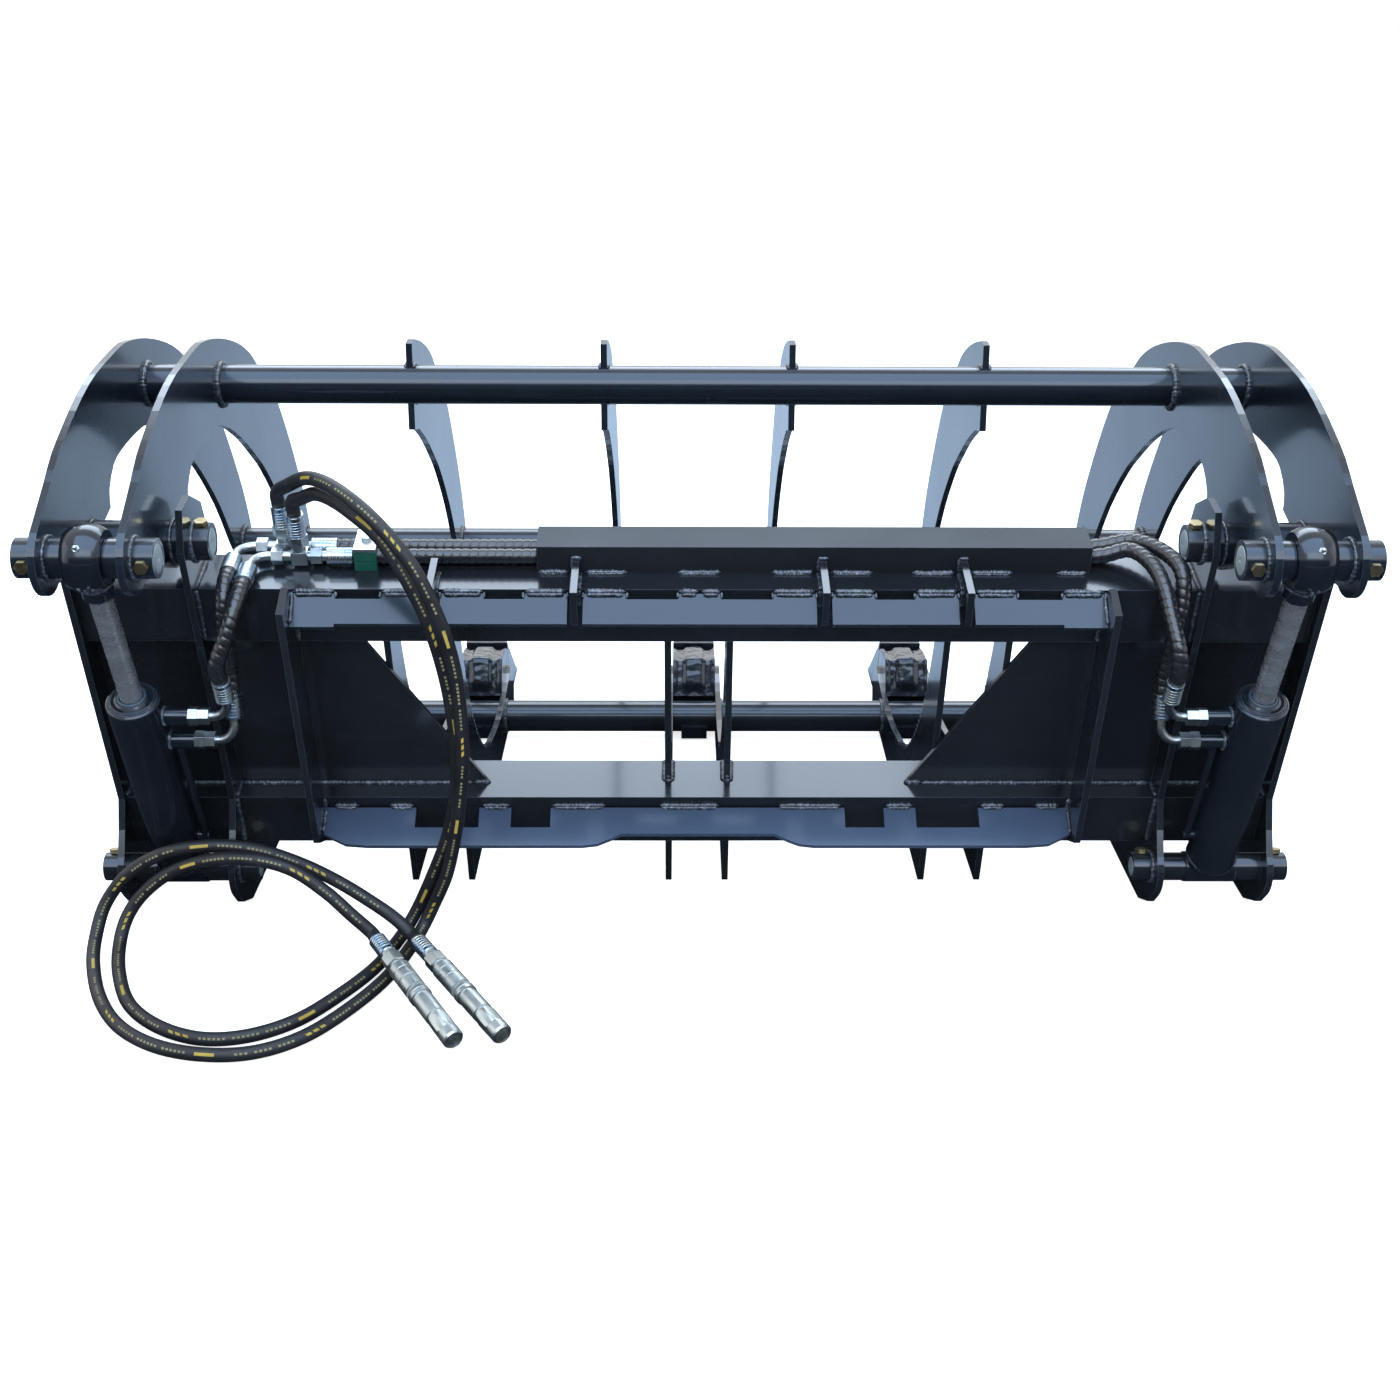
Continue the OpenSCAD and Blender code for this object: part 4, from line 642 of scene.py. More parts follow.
def knurl_tooth(origin, z, r):
    """A tapered tooth: its foot and top are (start, end, radius, half width)."""
    w = z.cross(r)
    verts = []
    for h0, h1, radius, half in (KNURL_FOOT, KNURL_TOP):
        for h, across_it in ((h0, -half), (h0, half), (h1, half), (h1, -half)):
            verts.append(origin + (z * h + r * radius + w * across_it) / 1000)
    return verts, [(0, 1, 5, 4), (1, 2, 6, 5), (2, 3, 7, 6), (3, 0, 4, 7), (4, 5, 6, 7)]


def coupler(tag, end, d):
    origin = Vector(end) / 1000
    metal = MATERIALS["coupler_metal"]
    ferrule = lathe("coupler_ferrule_" + tag, origin, d, crimp(38, 12.9), FERRULE, "frame", 40)
    ob = lathe("coupler_body_" + tag, origin, d, COUPLER_PROFILE, metal, "frame", 48,
               hexes=COUPLER_HEXES)
    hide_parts("coupler_" + tag)
    z = Vector(d).normalized()
    x = z.orthogonal().normalized()
    y = z.cross(x)
    teeth = []
    for k in range(KNURL_TEETH):
        a = TURN * k / KNURL_TEETH
        teeth.append(knurl_tooth(origin, z, x * math.cos(a) + y * math.sin(a)))
    knurl = join_parts("coupler_knurl_" + tag, teeth, metal, "frame", smooth=False)
    return [ob, ferrule, knurl]


for tag, x, y, route, tip, phase in (("a", FAR_X, FAR_Y, ROUTE_A, TIP_A, 0.11),
                                     ("b", NEAR_X, NEAR_Y, ROUTE_B, TIP_B, 0.17)):
    ob, fine, s, d, end = supply(tag, x, y, route, tip)
    extra = hose_marks(tag, fine, s, phase) + coupler(tag, end, d)

# Lines in their spiral guards. The fittings' sizes set where the lines start and end.
PORT_UPPER, PORT_LOWER = BARREL_L - 30, BARREL_L - 79
LOWER_LEAN = 30
PORT_REACH = BARREL_R + 36
PORT_ADAPTER_L = 13
ELBOW_RISE = 44
ELBOW_REACH = 70
CRIMP_L = 37
CRIMP_START = 39
TEE_LEFT = 24
BEAM_STEPS = 18


def line_dir(lean):
    """The way a line leaves its port, lean degrees off the cylinder's axis."""
    a = CYL_ANGLE - math.radians(lean)
    return np.array([0, math.cos(a), math.sin(a)])


def line_end(port, lean):
    """Where a line meets the ferrule of its port's elbow."""
    foot = np.array([BAY_X - PORT_REACH - PORT_ADAPTER_L - ELBOW_RISE,
                     BASE_PIN[0] + port * math.cos(CYL_ANGLE), BASE_PIN[1] + port * math.sin(CYL_ANGLE)])
    return foot + ELBOW_REACH * line_dir(lean)


UPPER_E, LOWER_E = line_end(PORT_UPPER, 0), line_end(PORT_LOWER, LOWER_LEAN)


def offsets(e, shares):
    return [e + WRAP * np.array(v) for v in shares]


def port_run(e, lean):
    return [e + 1.3 * WRAP * line_dir(lean), e]


def short_start(x, y):
    s = np.array([-x + TEE_LEFT + ELBOW_RISE, y - ELBOW_REACH, LINE_Z])
    return [s, s - np.array([0, WRAP, 0])]


def beam_run(x, y):
    x0, x1 = x + CRIMP_START + CRIMP_L, COVER_END - WRAP
    return [np.array([x0 + (x1 - x0) * i / BEAM_STEPS, y, LINE_Z]) for i in range(BEAM_STEPS + 1)]


def over_edge(y, run_share):
    return [np.array([COVER_END + 0.9 * WRAP, y, LINE_Z + 0.15 * WRAP]),
            np.array([COVER_END + run_share * WRAP, y - 0.15 * WRAP, LINE_Z + 0.65 * WRAP])]


GUARD_SIDES = 20
GUARD_STEP_M = 0.00125
RIB_PITCH_M = 0.0125
GROOVE_DEPTH_M, GROOVE_SHARE = 0.0011, 0.10
CROWN_M = 0.00018
GUARD_INSET_M = 0.00015


def guard(pts, side):
    """A hose in its spiral guard: a helical groove with a crowned strip between its turns."""
    path = np.array([placed(side * q[0], q[1], q[2]) for q in smooth_path(pts, 8)])
    fine, s = resample(path, GUARD_STEP_M)
    around = np.arange(GUARD_SIDES) / GUARD_SIDES
    phase = (s[:, None] / RIB_PITCH_M + around[None, :]) % 1.0
    groove = np.clip(1 - np.abs(phase - 0.5) / GROOVE_SHARE, 0, 1) ** 0.8
    crown = CROWN_M * np.cos(TURN * phase)
    return swept(fine, WRAP / 2000 - GUARD_INSET_M + crown - GROOVE_DEPTH_M * groove, GUARD_SIDES)


NEAR_SHORT_SHARES = [(-1.09, 1.48, 4.09), (-0.61, 0.48, 2.78)]
FAR_SHORT_SHARES = [(-0.17, 1.09, 6.20), (-0.09, 0.57, 4.57), (-0.04, 0.48, 2.65)]
NEAR_DROP_SHARES = [(-1.25, 5.13, 5.26), (-0.75, 3.30, 4.65), (-0.50, 1.91, 3.65), (-0.20, 0.35, 2.50)]
FAR_DROP_SHARES = [(-0.38, 4.40, 7.80), (0.42, 2.60, 7.57), (0.48, 1.40, 6.13), (0.20, 0.75, 4.30)]
PATHS = {
    "left": [short_start(NEAR_X, NEAR_Y) + offsets(UPPER_E, NEAR_SHORT_SHARES) + port_run(UPPER_E, 0),
             short_start(FAR_X, FAR_Y) + offsets(LOWER_E, FAR_SHORT_SHARES) + port_run(LOWER_E, LOWER_LEAN)],
    "right": [beam_run(NEAR_X, NEAR_Y) + over_edge(NEAR_Y, 2.5) + offsets(UPPER_E, NEAR_DROP_SHARES)
              + port_run(UPPER_E, 0),
              beam_run(FAR_X, FAR_Y) + over_edge(FAR_Y, 2.9) + offsets(LOWER_E, FAR_DROP_SHARES)
              + port_run(LOWER_E, LOWER_LEAN)]}
for name, side in SIDES:
    verts, faces = merged([guard(p, side) for p in PATHS[name]])
    ob = add_mesh("guard_" + name, verts, faces, MATERIALS["hose_guard"])
    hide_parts("lines_" + name)
    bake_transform(ob)

# Ferrules on the fittings
FERRULE_R = 12.8
for tag, x, y in (("near", NEAR_X, NEAR_Y), ("far", FAR_X, FAR_Y)):
    lathe("ferrule_stem_" + tag, placed(x, y, LINE_Z + STEM_L + STEM_NUT_L), turned(0, 0, 1),
          crimp(STEM_CRIMP_L, FERRULE_R), FERRULE, "frame")
    lathe("ferrule_beam_" + tag, placed(x + CRIMP_START, y, LINE_Z), Vector((1, 0, 0)),
          crimp(CRIMP_L, FERRULE_R), FERRULE, "frame")
    lathe("ferrule_short_" + tag, placed(x - TEE_LEFT - ELBOW_RISE, y - (ELBOW_REACH - CRIMP_L), LINE_Z),
          turned(0, -1, 0), crimp(CRIMP_L, FERRULE_R), FERRULE, "frame")
for name, side in SIDES:
    for tag, e, lean in (("upper", UPPER_E, 0), ("lower", LOWER_E, LOWER_LEAN)):
        d = line_dir(lean)
        foot = e - CRIMP_L * d
        lathe("ferrule_%s_%s" % (tag, name), placed(side * foot[0], foot[1], foot[2]), turned(0, d[1], d[2]),
              crimp(CRIMP_L, FERRULE_R), FERRULE, "barrel_" + name)

# Discs on the pin ends: distance along the pin in mm, and share of the disc's radius
DISC_SHARES = [(-0.2, 0.98), (0.5, 0.98), (0.9, 0.93), (0.9, 0.20), (0.3, 0.16), (-0.1, 0.05), (-0.1, 0.003)]
PIN_ENDS = (("pivot", PIVOT, 19, IN_NEAR - PIVOT_BOSS_L, OUT_FAR + PIVOT_BOSS_L, "frame"),
            ("rod", ROD_PIN, 19, ARM_IN_NEAR - ROD_BOSS_L, ARM_OUT_FAR + ROD_BOSS_L, "jaw"),
            ("base", BASE_PIN, 14, IN_NEAR - BASE_BOSS_L, OUT_FAR + BASE_BOSS_L, "frame"))


def pin_end(name, x, pin, r, way, body):
    profile = [(h, k * r) for h, k in DISC_SHARES]
    lathe(name, placed(x, pin[0], pin[1]), Vector((way, 0, 0)), profile, DISC, body, 40)


# Wipers and gland rings, from the end of the barrel
WIPER_UP = 8.2
WIPER_PROFILE = [(0, 20.2), (1.2, 20.2), (2.0, 19.3), (2.2, 17.8), (1.0, 16.9), (0, 16.7)]
GLAND_PROFILE = [(0, 37.6), (1.0, 37.6), (1.8, 36.6), (2.6, 35.6), (2.6, 34.2), (3.4, 34.0), (3.6, 33.0),
                 (5.0, 32.2), (5.2, 30.4), (5.8, 30.0), (5.8, 25.0), (8.3, 22.6), (8.5, 21.4), (8.0, 20.3),
                 (0, 20.3)]
for name, side in SIDES:
    for tag, pin, r, inner_x, _, body in PIN_ENDS:
        pin_end("pin_%s_in_%s" % (tag, name), side * (inner_x + SEAT_GAP), pin, r, -side, body)
    for tag, pin, r, _, outer_x, body in PIN_ENDS:
        pin_end("pin_%s_out_%s" % (tag, name), side * (outer_x - SEAT_GAP), pin, r, side, body)
    lathe("wiper_" + name, cyl(side, 0, 0, BARREL_L + WIPER_UP), CYL_AXIS, WIPER_PROFILE, WIPER,
          "barrel_" + name)
    lathe("gland_rings_" + name, cyl(side, 0, 0, BARREL_L), CYL_AXIS, GLAND_PROFILE,
          MATERIALS["cylinder_paint"], "barrel_" + name, 56)

# Weld beads. Each is a path in metres and a radius in mm.
BEAD_STEP_M = 0.0016
BEAD_SIDES = 7
WAVE_M = 0.012


def bead(points, r, seed):
    """A rippled bead of uneven width along a path."""
    rnd = np.random.RandomState(seed)
    fine, s = resample(np.array([tuple(q) for q in points]), BEAD_STEP_M)
    n = len(fine)
    ripple = 0.80 + 0.26 * np.abs(np.sin(math.pi * s / (0.0052 + 0.0006 * rnd.rand())))
    waves = max(4, int(s[-1] / WAVE_M))
    width = np.interp(s, np.linspace(0, s[-1] + 1e-9, waves), rnd.uniform(0.82, 1.18, waves))
    radius = r / 1000 * (ripple * width)[:, None] * (1 + rnd.uniform(-0.10, 0.10, (n, BEAD_SIDES)))
    radius *= np.clip(np.minimum(s, s[-1] - s) / (r / 1000), 0.25, 1)[:, None]
    shift = rnd.uniform(-0.0003, 0.0003, (n, 3))
    return swept(fine + shift, radius, BEAD_SIDES)


def ring(x, p, radius, a0=0, a1=360):
    """Points on a circle around p, square to X, from a0 to a1 degrees."""
    n = 40
    angles = [math.radians(a0 + (a1 - a0) * i / n) for i in range(n + 1)]
    return [placed(x, p[0] + radius * math.cos(a), p[1] + radius * math.sin(a)) for a in angles]


def run(a, b):
    return [placed(*a), placed(*b)]


def across(x0, x1, y, z):
    return run((x0, y, z), (x1, y, z))


def along(x, y0, y1, z):
    return run((x, y0, z), (x, y1, z))


def upright(x, y, z0, z1):
    return run((x, y, z0), (x, y, z1))


def welds(name, body, beads):
    parts = [bead(pts, r, 31 * i + len(name)) for i, (pts, r) in enumerate(beads)]
    return join_parts(name, parts, WELD, body)


# Beads lie a little way off the faces that they join
OFF = 0.6
TUBE_R = 31.2
PIVOT_RING_R, BASE_RING_R, ROD_RING_R, HUB_RING_R = 28, 23, 28, 31.0
FLANK = 0.8
TINE_FLANKS = (-PAIR_OUT - FLANK, -PAIR_IN + FLANK, PAIR_IN - FLANK, PAIR_OUT + FLANK)
END_PLATE_XS = (576.6, 587.6)


def frame_beads(side):
    """Each bead's path and radius, as in the two functions below."""
    # bosses on the side plates
    for pin, r in ((PIVOT, PIVOT_RING_R), (BASE_PIN, BASE_RING_R)):
        for x in (IN_NEAR - OFF, OUT_FAR + OFF):
            yield ring(side * x, pin, r), 3.0
    # cross tube in the side plates and tines
    for x in (IN_NEAR - OFF, IN_FAR + OFF, OUT_NEAR - OFF):
        yield ring(side * x, CROSS_TUBE, TUBE_R), 3.0
    for centre in (0, side * PAIR_X):
        for dx in (-PAIR_OUT - OFF, PAIR_OUT + OFF):
            yield ring(centre + dx, CROSS_TUBE, TUBE_R), 2.8
    # beams to the side plates: along the top and rear faces
    for foot in (0, UPPER_BOT):
        for x, r in ((IN_NEAR - 1, 3.4), (IN_FAR + 1, 3.0), (OUT_NEAR - 1, 3.0)):
            yield along(side * x, 3, BEAM_S - 2, foot + BEAM_S + 1), r
    for foot in (0, UPPER_BOT):
        yield upright(side * (IN_NEAR - 1), -1, foot + 2, foot + BEAM_S - 2), 3.2
    # end plates on the beams' rear faces
    for x in END_PLATE_XS:
        for z0, z1 in ((12, 88), (387, 466)):
            yield upright(side * x, -1.4, z0, z1), 3.2
    # tines on the lower and upper beams
    for centre in (0, side * PAIR_X):
        for dx in TINE_FLANKS:
            yield along(centre + dx, 40, 89, BEAM_S + 1.4), 4.4
            yield along(centre + dx, 44, 89, UPPER_BOT - 1), 3.4
        for dx in (-PAIR_PITCH / 2, PAIR_PITCH / 2):
            yield across(centre + dx - 5, centre + dx + 5, 38.6, 92), 6.5
            yield across(centre + dx - 4, centre + dx + 4, 39.4, 99), 5.2
    # back panels and bay panels: their feet on the lower beam
    yield run((side * 323, 36, 91.5), (side * 350, 35, 91.5)), 5.0
    yield across(side * 350, side * 708, 34, 91.2), 3.8
    yield across(side * 725, side * 879, 34, 91.2), 3.6
    # gussets: foot on the beam's top edge, flanks on the lip and top on the cover
    for gusset_x in GUSSET_XS:
        x = side * gusset_x
        for dx in (-6.0, 6.0):
            yield along(x + dx, 0, 43, UPPER_TOP + 1.4), 2.6
            yield upright(x + dx, -1.2, 446, 474), 2.8
        if COVER_START < x < COVER_END:
            yield across(x - 8, x + 8, 42, 501), 3.0
            yield upright(x - 6, 42.6, 478, 500), 2.4


welds("welds_frame", "frame", [*frame_beads(-1), *frame_beads(1)])

# Stitches of the two lips and of the hose cover
GUSSET_GAP = 11.0
TAB_L = 0.108 * LIP_HALF
LIP_END = LIP_HALF - 1
LIP_RUNS = ((0, GUSSET_XS[0] - GUSSET_GAP), (GUSSET_XS[0] + GUSSET_GAP, GUSSET_XS[1] - GUSSET_GAP),
            (GUSSET_XS[1] + GUSSET_GAP, LIP_HALF))
LOWER_STITCHES = ((-563, -525), (-478, -440), (-334, -292), (-226, -144), (-60, 33), (125, 223), (292, 334),
                  (440, 478), (525, 563))
COVER_STITCHES = ((-232, -187), (-165, -103), (-31, 31), (103, 165), (187, 249), (305, 367), (389, 451),
                  (514, 559))


def upper_lip_beads(side):
    """Beads on the lip's tabs, and on its end at the end plate."""
    for start, end in LIP_RUNS:
        for x in (start, end - TAB_L):
            x1 = x + (TAB_L / 2 if x == 0 else TAB_L)
            yield across(side * (x + 2), side * (x1 - 2), -4.0, 474.4), 4.3
            yield across(side * (x + 5), side * (x1 - 5), -8.6, 472.0), 2.6
            for e in (x, x1):
                if e > 1:
                    yield run((side * e, -5.0, 474.0), (side * e, -12.5, 468.6)), 2.2
    yield run((side * LIP_END, -8, 471), (side * LIP_END, -45, 447)), 2.8


lip_beads = []
for side in (-1, 1):
    lip_beads += upper_lip_beads(side)
    lip_beads.append((run((side * LIP_END, -4, 74), (side * LIP_END, -46, 57)), 2.8))
for x0, x1 in LOWER_STITCHES:
    lip_beads.append((across(x0, x1, -2.2, 75.4), 4.0))
    lip_beads.append((across(x0 + 3, x1 - 3, -5.6, 73.2), 2.8))
for x0, x1 in COVER_STITCHES:
    lip_beads.append((across(x0, x1, 42.4, 476.6), 4.2))
    lip_beads.append((across(x0 + 4, x1 - 4, 40.2, 475.4), 2.8))
welds("welds_lips", "frame", lip_beads)


def jaw_beads(side):
    """Beads on the arms, the round tubes and the single tines."""
    # the two round tubes in the arms and in the single tines; the top tube's are open at the rear
    for tube, arc in ((JAW_TOP, (-98, 96)), (JAW_NOSE, (0, 360))):
        yield ring(side * (ARM_IN_NEAR - 1.1), tube, 31.8), 4.8
        yield ring(side * (ARM_IN_FAR + 1.1), tube, 31.6), 4.4
        yield ring(side * (ARM_OUT_NEAR - 0.9), tube, 31.6), 4.6
        for x in (INNER_TINE_X, OUTER_TINE_X):
            for dx in (-5.8, 5.8):
                yield ring(side * (x + dx), tube, TUBE_R, *arc), 3.4
    # bosses and spacers of the rod pin, and the hub
    for x in (ARM_IN_NEAR - 0.7, ARM_OUT_FAR + 0.7):
        yield ring(side * x, ROD_PIN, ROD_RING_R), 3.2
    for x in (ARM_IN_FAR + 1.1, ARM_OUT_NEAR - 1.1):
        yield ring(side * x, ROD_PIN, ROD_RING_R + 0.4), 3.0
    for x in (ARM_IN_NEAR - OFF, ARM_IN_FAR + OFF, ARM_OUT_NEAR - OFF):
        yield ring(side * x, PIVOT, HUB_RING_R), 2.6


welds("welds_jaw", "jaw", [*jaw_beads(-1), *jaw_beads(1)])

# Welds of the barrels and rod eyes, the ball of the eye and its neck
PORT_RING_R = 12.6
FOOT_R = 24.2
EYE_R = 24.6
BALL_R, BALL_HALF_W, BALL_BORE_R = 46.0, 25.4, 20.6
DAB_R = 45.6
# each dab of weld on the ball: place across it, and start and length of its arc in degrees
DABS = ((-4, 203, 9), (-9, 194, 8), (4, 199, 7), (-2, 212, 7), (-12, 205, 7), (7, 78, 6))
NECK_PROFILE = [(567.7, 16.5), (567.7, 20.6), (568.6, 21.4), (580, 21.4), (586, 22.6), (592, 25.5),
                (600, 25.5)]


def ball_r(r, h):
    """Radius of the ball at h across it, a little flatter than a sphere."""
    return math.sqrt(r ** 2 - (1.06 * h) ** 2)


def port_weld(side, port):
    pts = [cyl(side, -BARREL_R - OFF, PORT_RING_R * math.cos(a), port + PORT_RING_R * math.sin(a))
           for a in np.linspace(0, TURN, 25)]
    return bead(pts, 2.4, port)


def foot_weld(side):
    pts = []
    for a in np.linspace(0, TURN, 60):
        x, y = FOOT_R * math.cos(a) * 1.52, FOOT_R * math.sin(a) * 1.45
        pts.append(cyl(side, x, y, 23.5 + 8 * abs(math.cos(a)) ** 2))
    return bead(pts, 2.6, 5)


def neck_weld(side):
    pts = [cyl(side, EYE_R * math.cos(a), EYE_R * math.sin(a), CYL_L - 38.5 + 1.5 * math.cos(2 * a))
           for a in np.linspace(0, TURN, 50)]
    return bead(pts, 3.2, 9)


def dab(side, k, h, start, arc):
    r = ball_r(DAB_R, h)
    first = math.radians(start)
    last = first + math.radians(arc)
    pts = []
    for share in (0, 0.5, 1):
        a = first + (last - first) * share
        pts.append(cyl(side, h + 3 * share, r * math.cos(a), CYL_L + r * math.sin(a)))
    return bead(pts, 3.4, 40 + k)


for name, side in SIDES:
    eye = "rod_eye_" + name
    join_parts("welds_barrel_" + name,
               [port_weld(side, PORT_UPPER), port_weld(side, PORT_LOWER), foot_weld(side)],
               WELD, "barrel_" + name)
    join_parts("weld_eye_" + name, [neck_weld(side)] + [dab(side, k, *row) for k, row in enumerate(DABS)],
               WELD, eye)
    ball = [(-BALL_HALF_W, BALL_BORE_R)]
    ball += [(h, ball_r(BALL_R, h)) for h in np.linspace(-BALL_HALF_W, BALL_HALF_W, 25)]
    ball += [(BALL_HALF_W, BALL_BORE_R)]
    knuckle = lathe("knuckle_" + name, cyl(side, 0, 0, CYL_L), Vector((1, 0, 0)), ball,
                    MATERIALS["cylinder_paint"], eye, 72, ring_shaped=True)
    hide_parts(eye)
    lathe("knuckle_neck_" + name, cyl(side, 0, 0, 0), CYL_AXIS, NECK_PROFILE, MATERIALS["cylinder_paint"],
          eye, 56)

# Cast skins of the tip adapters and the tooth rims: outlines in the YZ plane
CAST_HALF_W = 40.95
BACK = CROSS_TUBE[0] + 30.3
CREASE = SPINE_Y + 0.862 * TINE_REACH + 14.4
ADAPTER_TOP_Y = 754
SKIN_STEP = 3.2


def above(y, height):
    return y, ground(y) + height


ADAPTER = [above(BACK + 25.2, 4.3), above(BACK, 76.3), above(CREASE, 138.2), above(ADAPTER_TOP_Y, 131.8),
           (TOOTH_Y - SEAT_GAP, ground(TOOTH_Y) + 119.5), (TOOTH_Y - SEAT_GAP, ground(TOOTH_Y) + 4.3)]
RIM = [above(TOOTH_Y, 2.2), above(TOOTH_Y, 133.9), above(TOOTH_Y + 42.6, 97.9), above(TOOTH_Y + 60, 81.0),
       above(TOOTH_Y + 60, 2.2)]


def resampled_outline(outline, step):
    """Points at about equal steps around an outline, each with the way out of it."""
    out = []
    for i, p in enumerate(outline):
        q = outline[(i + 1) % len(outline)]
        n = max(1, int(round(math.dist(p, q) / step)))
        nrm = Vector((-(q[1] - p[1]), q[0] - p[0])).normalized()
        out += [(p[0] + (q[0] - p[0]) * k / n, p[1] + (q[1] - p[1]) * k / n, nrm) for k in range(n)]
    return [(y, z, (nrm + out[k - 1][2]).normalized()) for k, (y, z, nrm) in enumerate(out)]


def cast_skin(name, x0, outline, lift):
    """A rough skin over a casting, with rounded side edges and the relief that lift gives."""
    pts = resampled_outline(outline, SKIN_STEP)
    xs = [-CAST_HALF_W, -CAST_HALF_W, -CAST_HALF_W + 1.2, -CAST_HALF_W + 3.2]
    xs += list(np.linspace(-CAST_HALF_W + 6, CAST_HALF_W - 6, 24))
    xs += [CAST_HALF_W - 3.2, CAST_HALF_W - 1.2, CAST_HALF_W, CAST_HALF_W]
    verts = []
    for i, x in enumerate(xs):
        edge = max(0, 4 - (CAST_HALF_W - abs(x))) / 4
        pull = 3.0 * (1 - math.sqrt(max(0, 1 - edge * edge)))
        for y, z, nrm in pts:
            d = 0.6 + lift(x, y, nrm) - pull
            coarse = noise.noise(Vector((x + 3 * x0, y, z)) / 13)
            d += 1.1 * coarse + 0.5 * noise.noise(Vector((x, y + x0, z)) / 5)
            if i in (0, len(xs) - 1):
                d -= 6
            verts.append(placed(x0 + x, y + nrm[0] * d, z + nrm[1] * d))
    faces = wall_faces(len(xs), len(pts)) + cap_faces(len(xs), len(pts))
    ob = add_mesh(name, verts, faces, MATERIALS["tooth_paint"])
    sharp(ob, 50)
    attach(ob, "frame")


def step(v, a, b):
    t = min(1, max(0, (v - a) / (b - a)))
    return t * t * (3 - 2 * t)


def adapter_lift(x, y, nrm):
    """A raised rib up the rear face and along the top, between two hollow flanks."""
    if nrm[1] < 0.2 or y > TOOTH_Y - 12:
        return 0
    up_there = step(y, BACK + 2, BACK + 18)
    return up_there * (1.5 + 6 * (1 - step(abs(x), 13, 23)) + 3.5 * step(abs(x), 31, 37))


def rim_lift(x, y, nrm):
    """A raised band across the top of the tooth."""
    if nrm[1] < -0.2:
        return 0
    return 1.5 + 4 * (1 - step(abs(y - TOOTH_Y - 7), 5, 8))


for i, x0 in enumerate((-PAIR_X, 0, PAIR_X)):
    cast_skin("cast_adapter_%d" % i, x0, ADAPTER, adapter_lift)
    cast_skin("cast_rim_%d" % i, x0, RIM, rim_lift)


# Lights
def area(name, loc, target, size, radiance, colour):
    light = bpy.data.lights.new(name, "AREA")
    light.shape = "RECTANGLE"
    light.size, light.size_y = size
    light.energy = radiance * math.pi * size[0] * size[1]
    light.color = colour
    ob = bpy.data.objects.new(name, light)
    ob.location = loc
    ob.rotation_euler = (Vector(target) - Vector(loc)).to_track_quat("-Z", "Y").to_euler()
    bpy.context.scene.collection.objects.link(ob)


area("sky_panel", (0, -2.3, 5.2), (0, -0.3, 0.4), (6.6, 4.6), 3.7, (0.46, 0.68, 1.0))
area("back_panel", (0, -6.6, 4.6), (0, -0.3, 0.6), (7.5, 2.6), 4.2, (0.74, 0.86, 1.0))
area("front_panel", (0, 4.2, 5.0), (0, 0, 0.5), (6.4, 3.0), 5.0, (0.74, 0.86, 1.0))
area("left_panel", (-4.6, -1.2, 1.9), (0, 0, 0.4), (2.4, 2.6), 0.9, (0.93, 0.96, 1.0))
area("right_panel", (4.6, -1.0, 1.9), (0, 0, 0.4), (2.4, 2.6), 0.7, (0.93, 0.96, 1.0))


# World, floor and dark cards
def seen(tree):
    """1 for rays from the camera, off a gloss or through a transparent surface."""
    path = tree.nodes.new("ShaderNodeLightPath")
    fac = path.outputs["Is Camera Ray"]
    for kind in ("Is Glossy Ray", "Is Transmission Ray"):
        top = tree.nodes.new("ShaderNodeMath")
        top.operation = "MAXIMUM"
        tree.links.new(fac, top.inputs[0])
        tree.links.new(path.outputs[kind], top.inputs[1])
        fac = top.outputs[0]
    return fac


world = bpy.data.worlds.new("world")
bpy.context.scene.world = world
world.use_nodes = True
tree = world.node_tree
tree.nodes.clear()
world_out = tree.nodes.new("ShaderNodeOutputWorld")
white = tree.nodes.new("ShaderNodeBackground")
white.inputs[0].default_value = (1, 1, 1, 1)
fill = tree.nodes.new("ShaderNodeBackground")
fill.inputs[0].default_value = (0.86, 0.92, 1.0, 1)
fill.inputs[1].default_value = 0.45
choose = tree.nodes.new("ShaderNodeMixShader")
tree.links.new(seen(tree), choose.inputs[0])
tree.links.new(fill.outputs[0], choose.inputs[1])
tree.links.new(white.outputs[0], choose.inputs[2])
tree.links.new(choose.outputs[0], world_out.inputs[0])


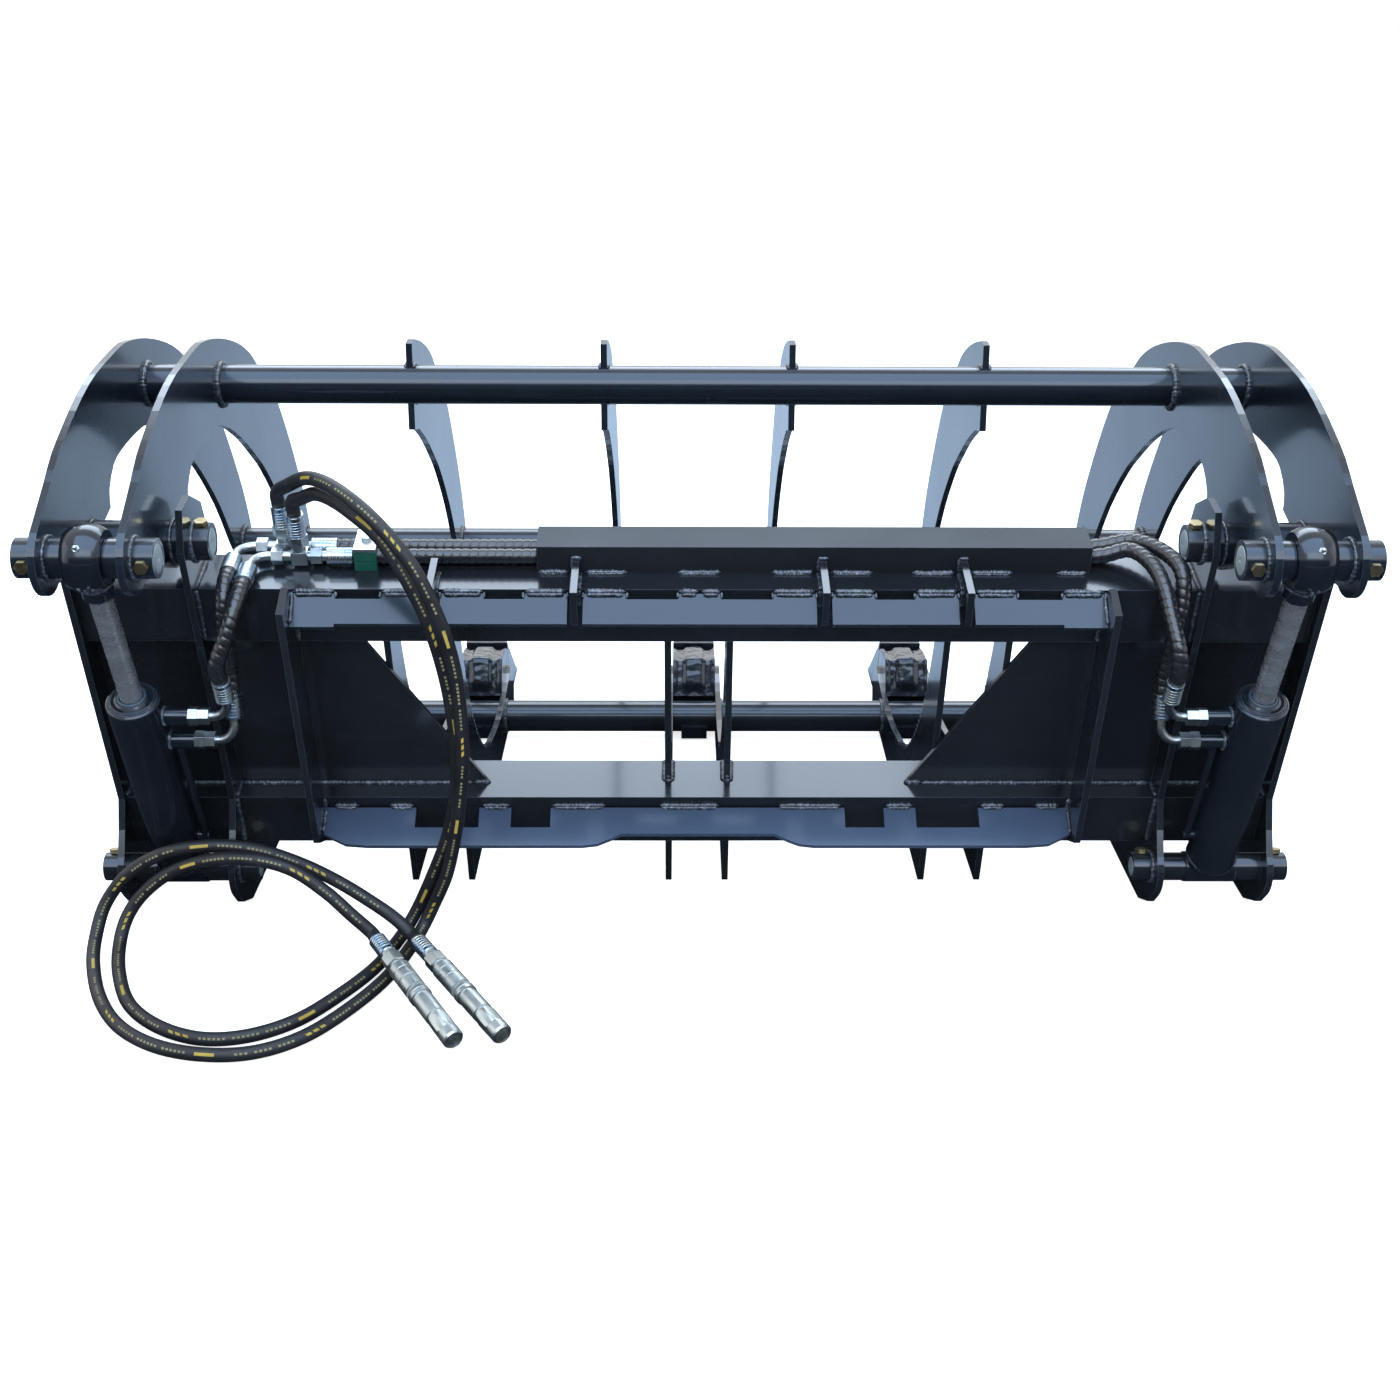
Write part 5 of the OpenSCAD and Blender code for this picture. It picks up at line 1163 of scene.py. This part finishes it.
def add_glow(tree, shader, strength):
    """The light that white paper would send back from the rest of the studio."""
    emission = tree.nodes.new("ShaderNodeEmission")
    emission.inputs[0].default_value = (1, 1, 1, 1)
    scale = tree.nodes.new("ShaderNodeMath")
    scale.operation = "MULTIPLY"
    scale.inputs[1].default_value = strength
    tree.links.new(seen(tree), scale.inputs[0])
    tree.links.new(scale.outputs[0], emission.inputs[1])
    both = tree.nodes.new("ShaderNodeAddShader")
    tree.links.new(shader.outputs[0], both.inputs[0])
    tree.links.new(emission.outputs[0], both.inputs[1])
    tree.links.new(both.outputs[0], tree.nodes["Material Output"].inputs[0])


def stage_plane(name, corners, colour, glow=0.0):
    me = bpy.data.meshes.new(name)
    me.from_pydata(corners, [], [(0, 1, 2, 3)])
    ob = bpy.data.objects.new(name, me)
    bpy.context.scene.collection.objects.link(ob)
    mat = bpy.data.materials.new(name)
    mat.use_nodes = True
    shader = mat.node_tree.nodes["Principled BSDF"]
    shader.inputs["Base Color"].default_value = (*colour, 1)
    shader.inputs["Roughness"].default_value = 1.0
    shader.inputs["Specular IOR Level"].default_value = 0
    if glow:
        add_glow(mat.node_tree, shader, glow)
    me.materials.append(mat)
    return ob


def level(x, y0, y1, z):
    return [(-x, y0, z), (x, y0, z), (x, y1, z), (-x, y1, z)]


FLOOR_Z, CARD_Z = -0.001, -0.0005
CARD_X, CARD_Y = 9, -7.5
CARD_SPLIT_Y = 0.6
CARD_DARK = (0.02, 0.022, 0.026)
stage_plane("floor", level(14, -14, 14, FLOOR_Z), (0.97, 0.97, 0.97), 0.8)
standing = [(-CARD_X, CARD_Y, 0.1), (CARD_X, CARD_Y, 0.1), (CARD_X, CARD_Y, 3.0), (-CARD_X, CARD_Y, 3.0)]
cards = [stage_plane("card_back", standing, CARD_DARK),
         stage_plane("card_low", level(CARD_X, CARD_Y, CARD_SPLIT_Y, CARD_Z), CARD_DARK),
         stage_plane("card_far", level(CARD_X, CARD_SPLIT_Y, 9, CARD_Z), (0.40, 0.45, 0.50))]
# the cards show in reflections only
for card in cards:
    for rays in ("camera", "diffuse", "shadow", "transmission", "volume_scatter"):
        setattr(card, "visible_" + rays, False)

bpy.context.scene.view_settings.view_transform = "Standard"
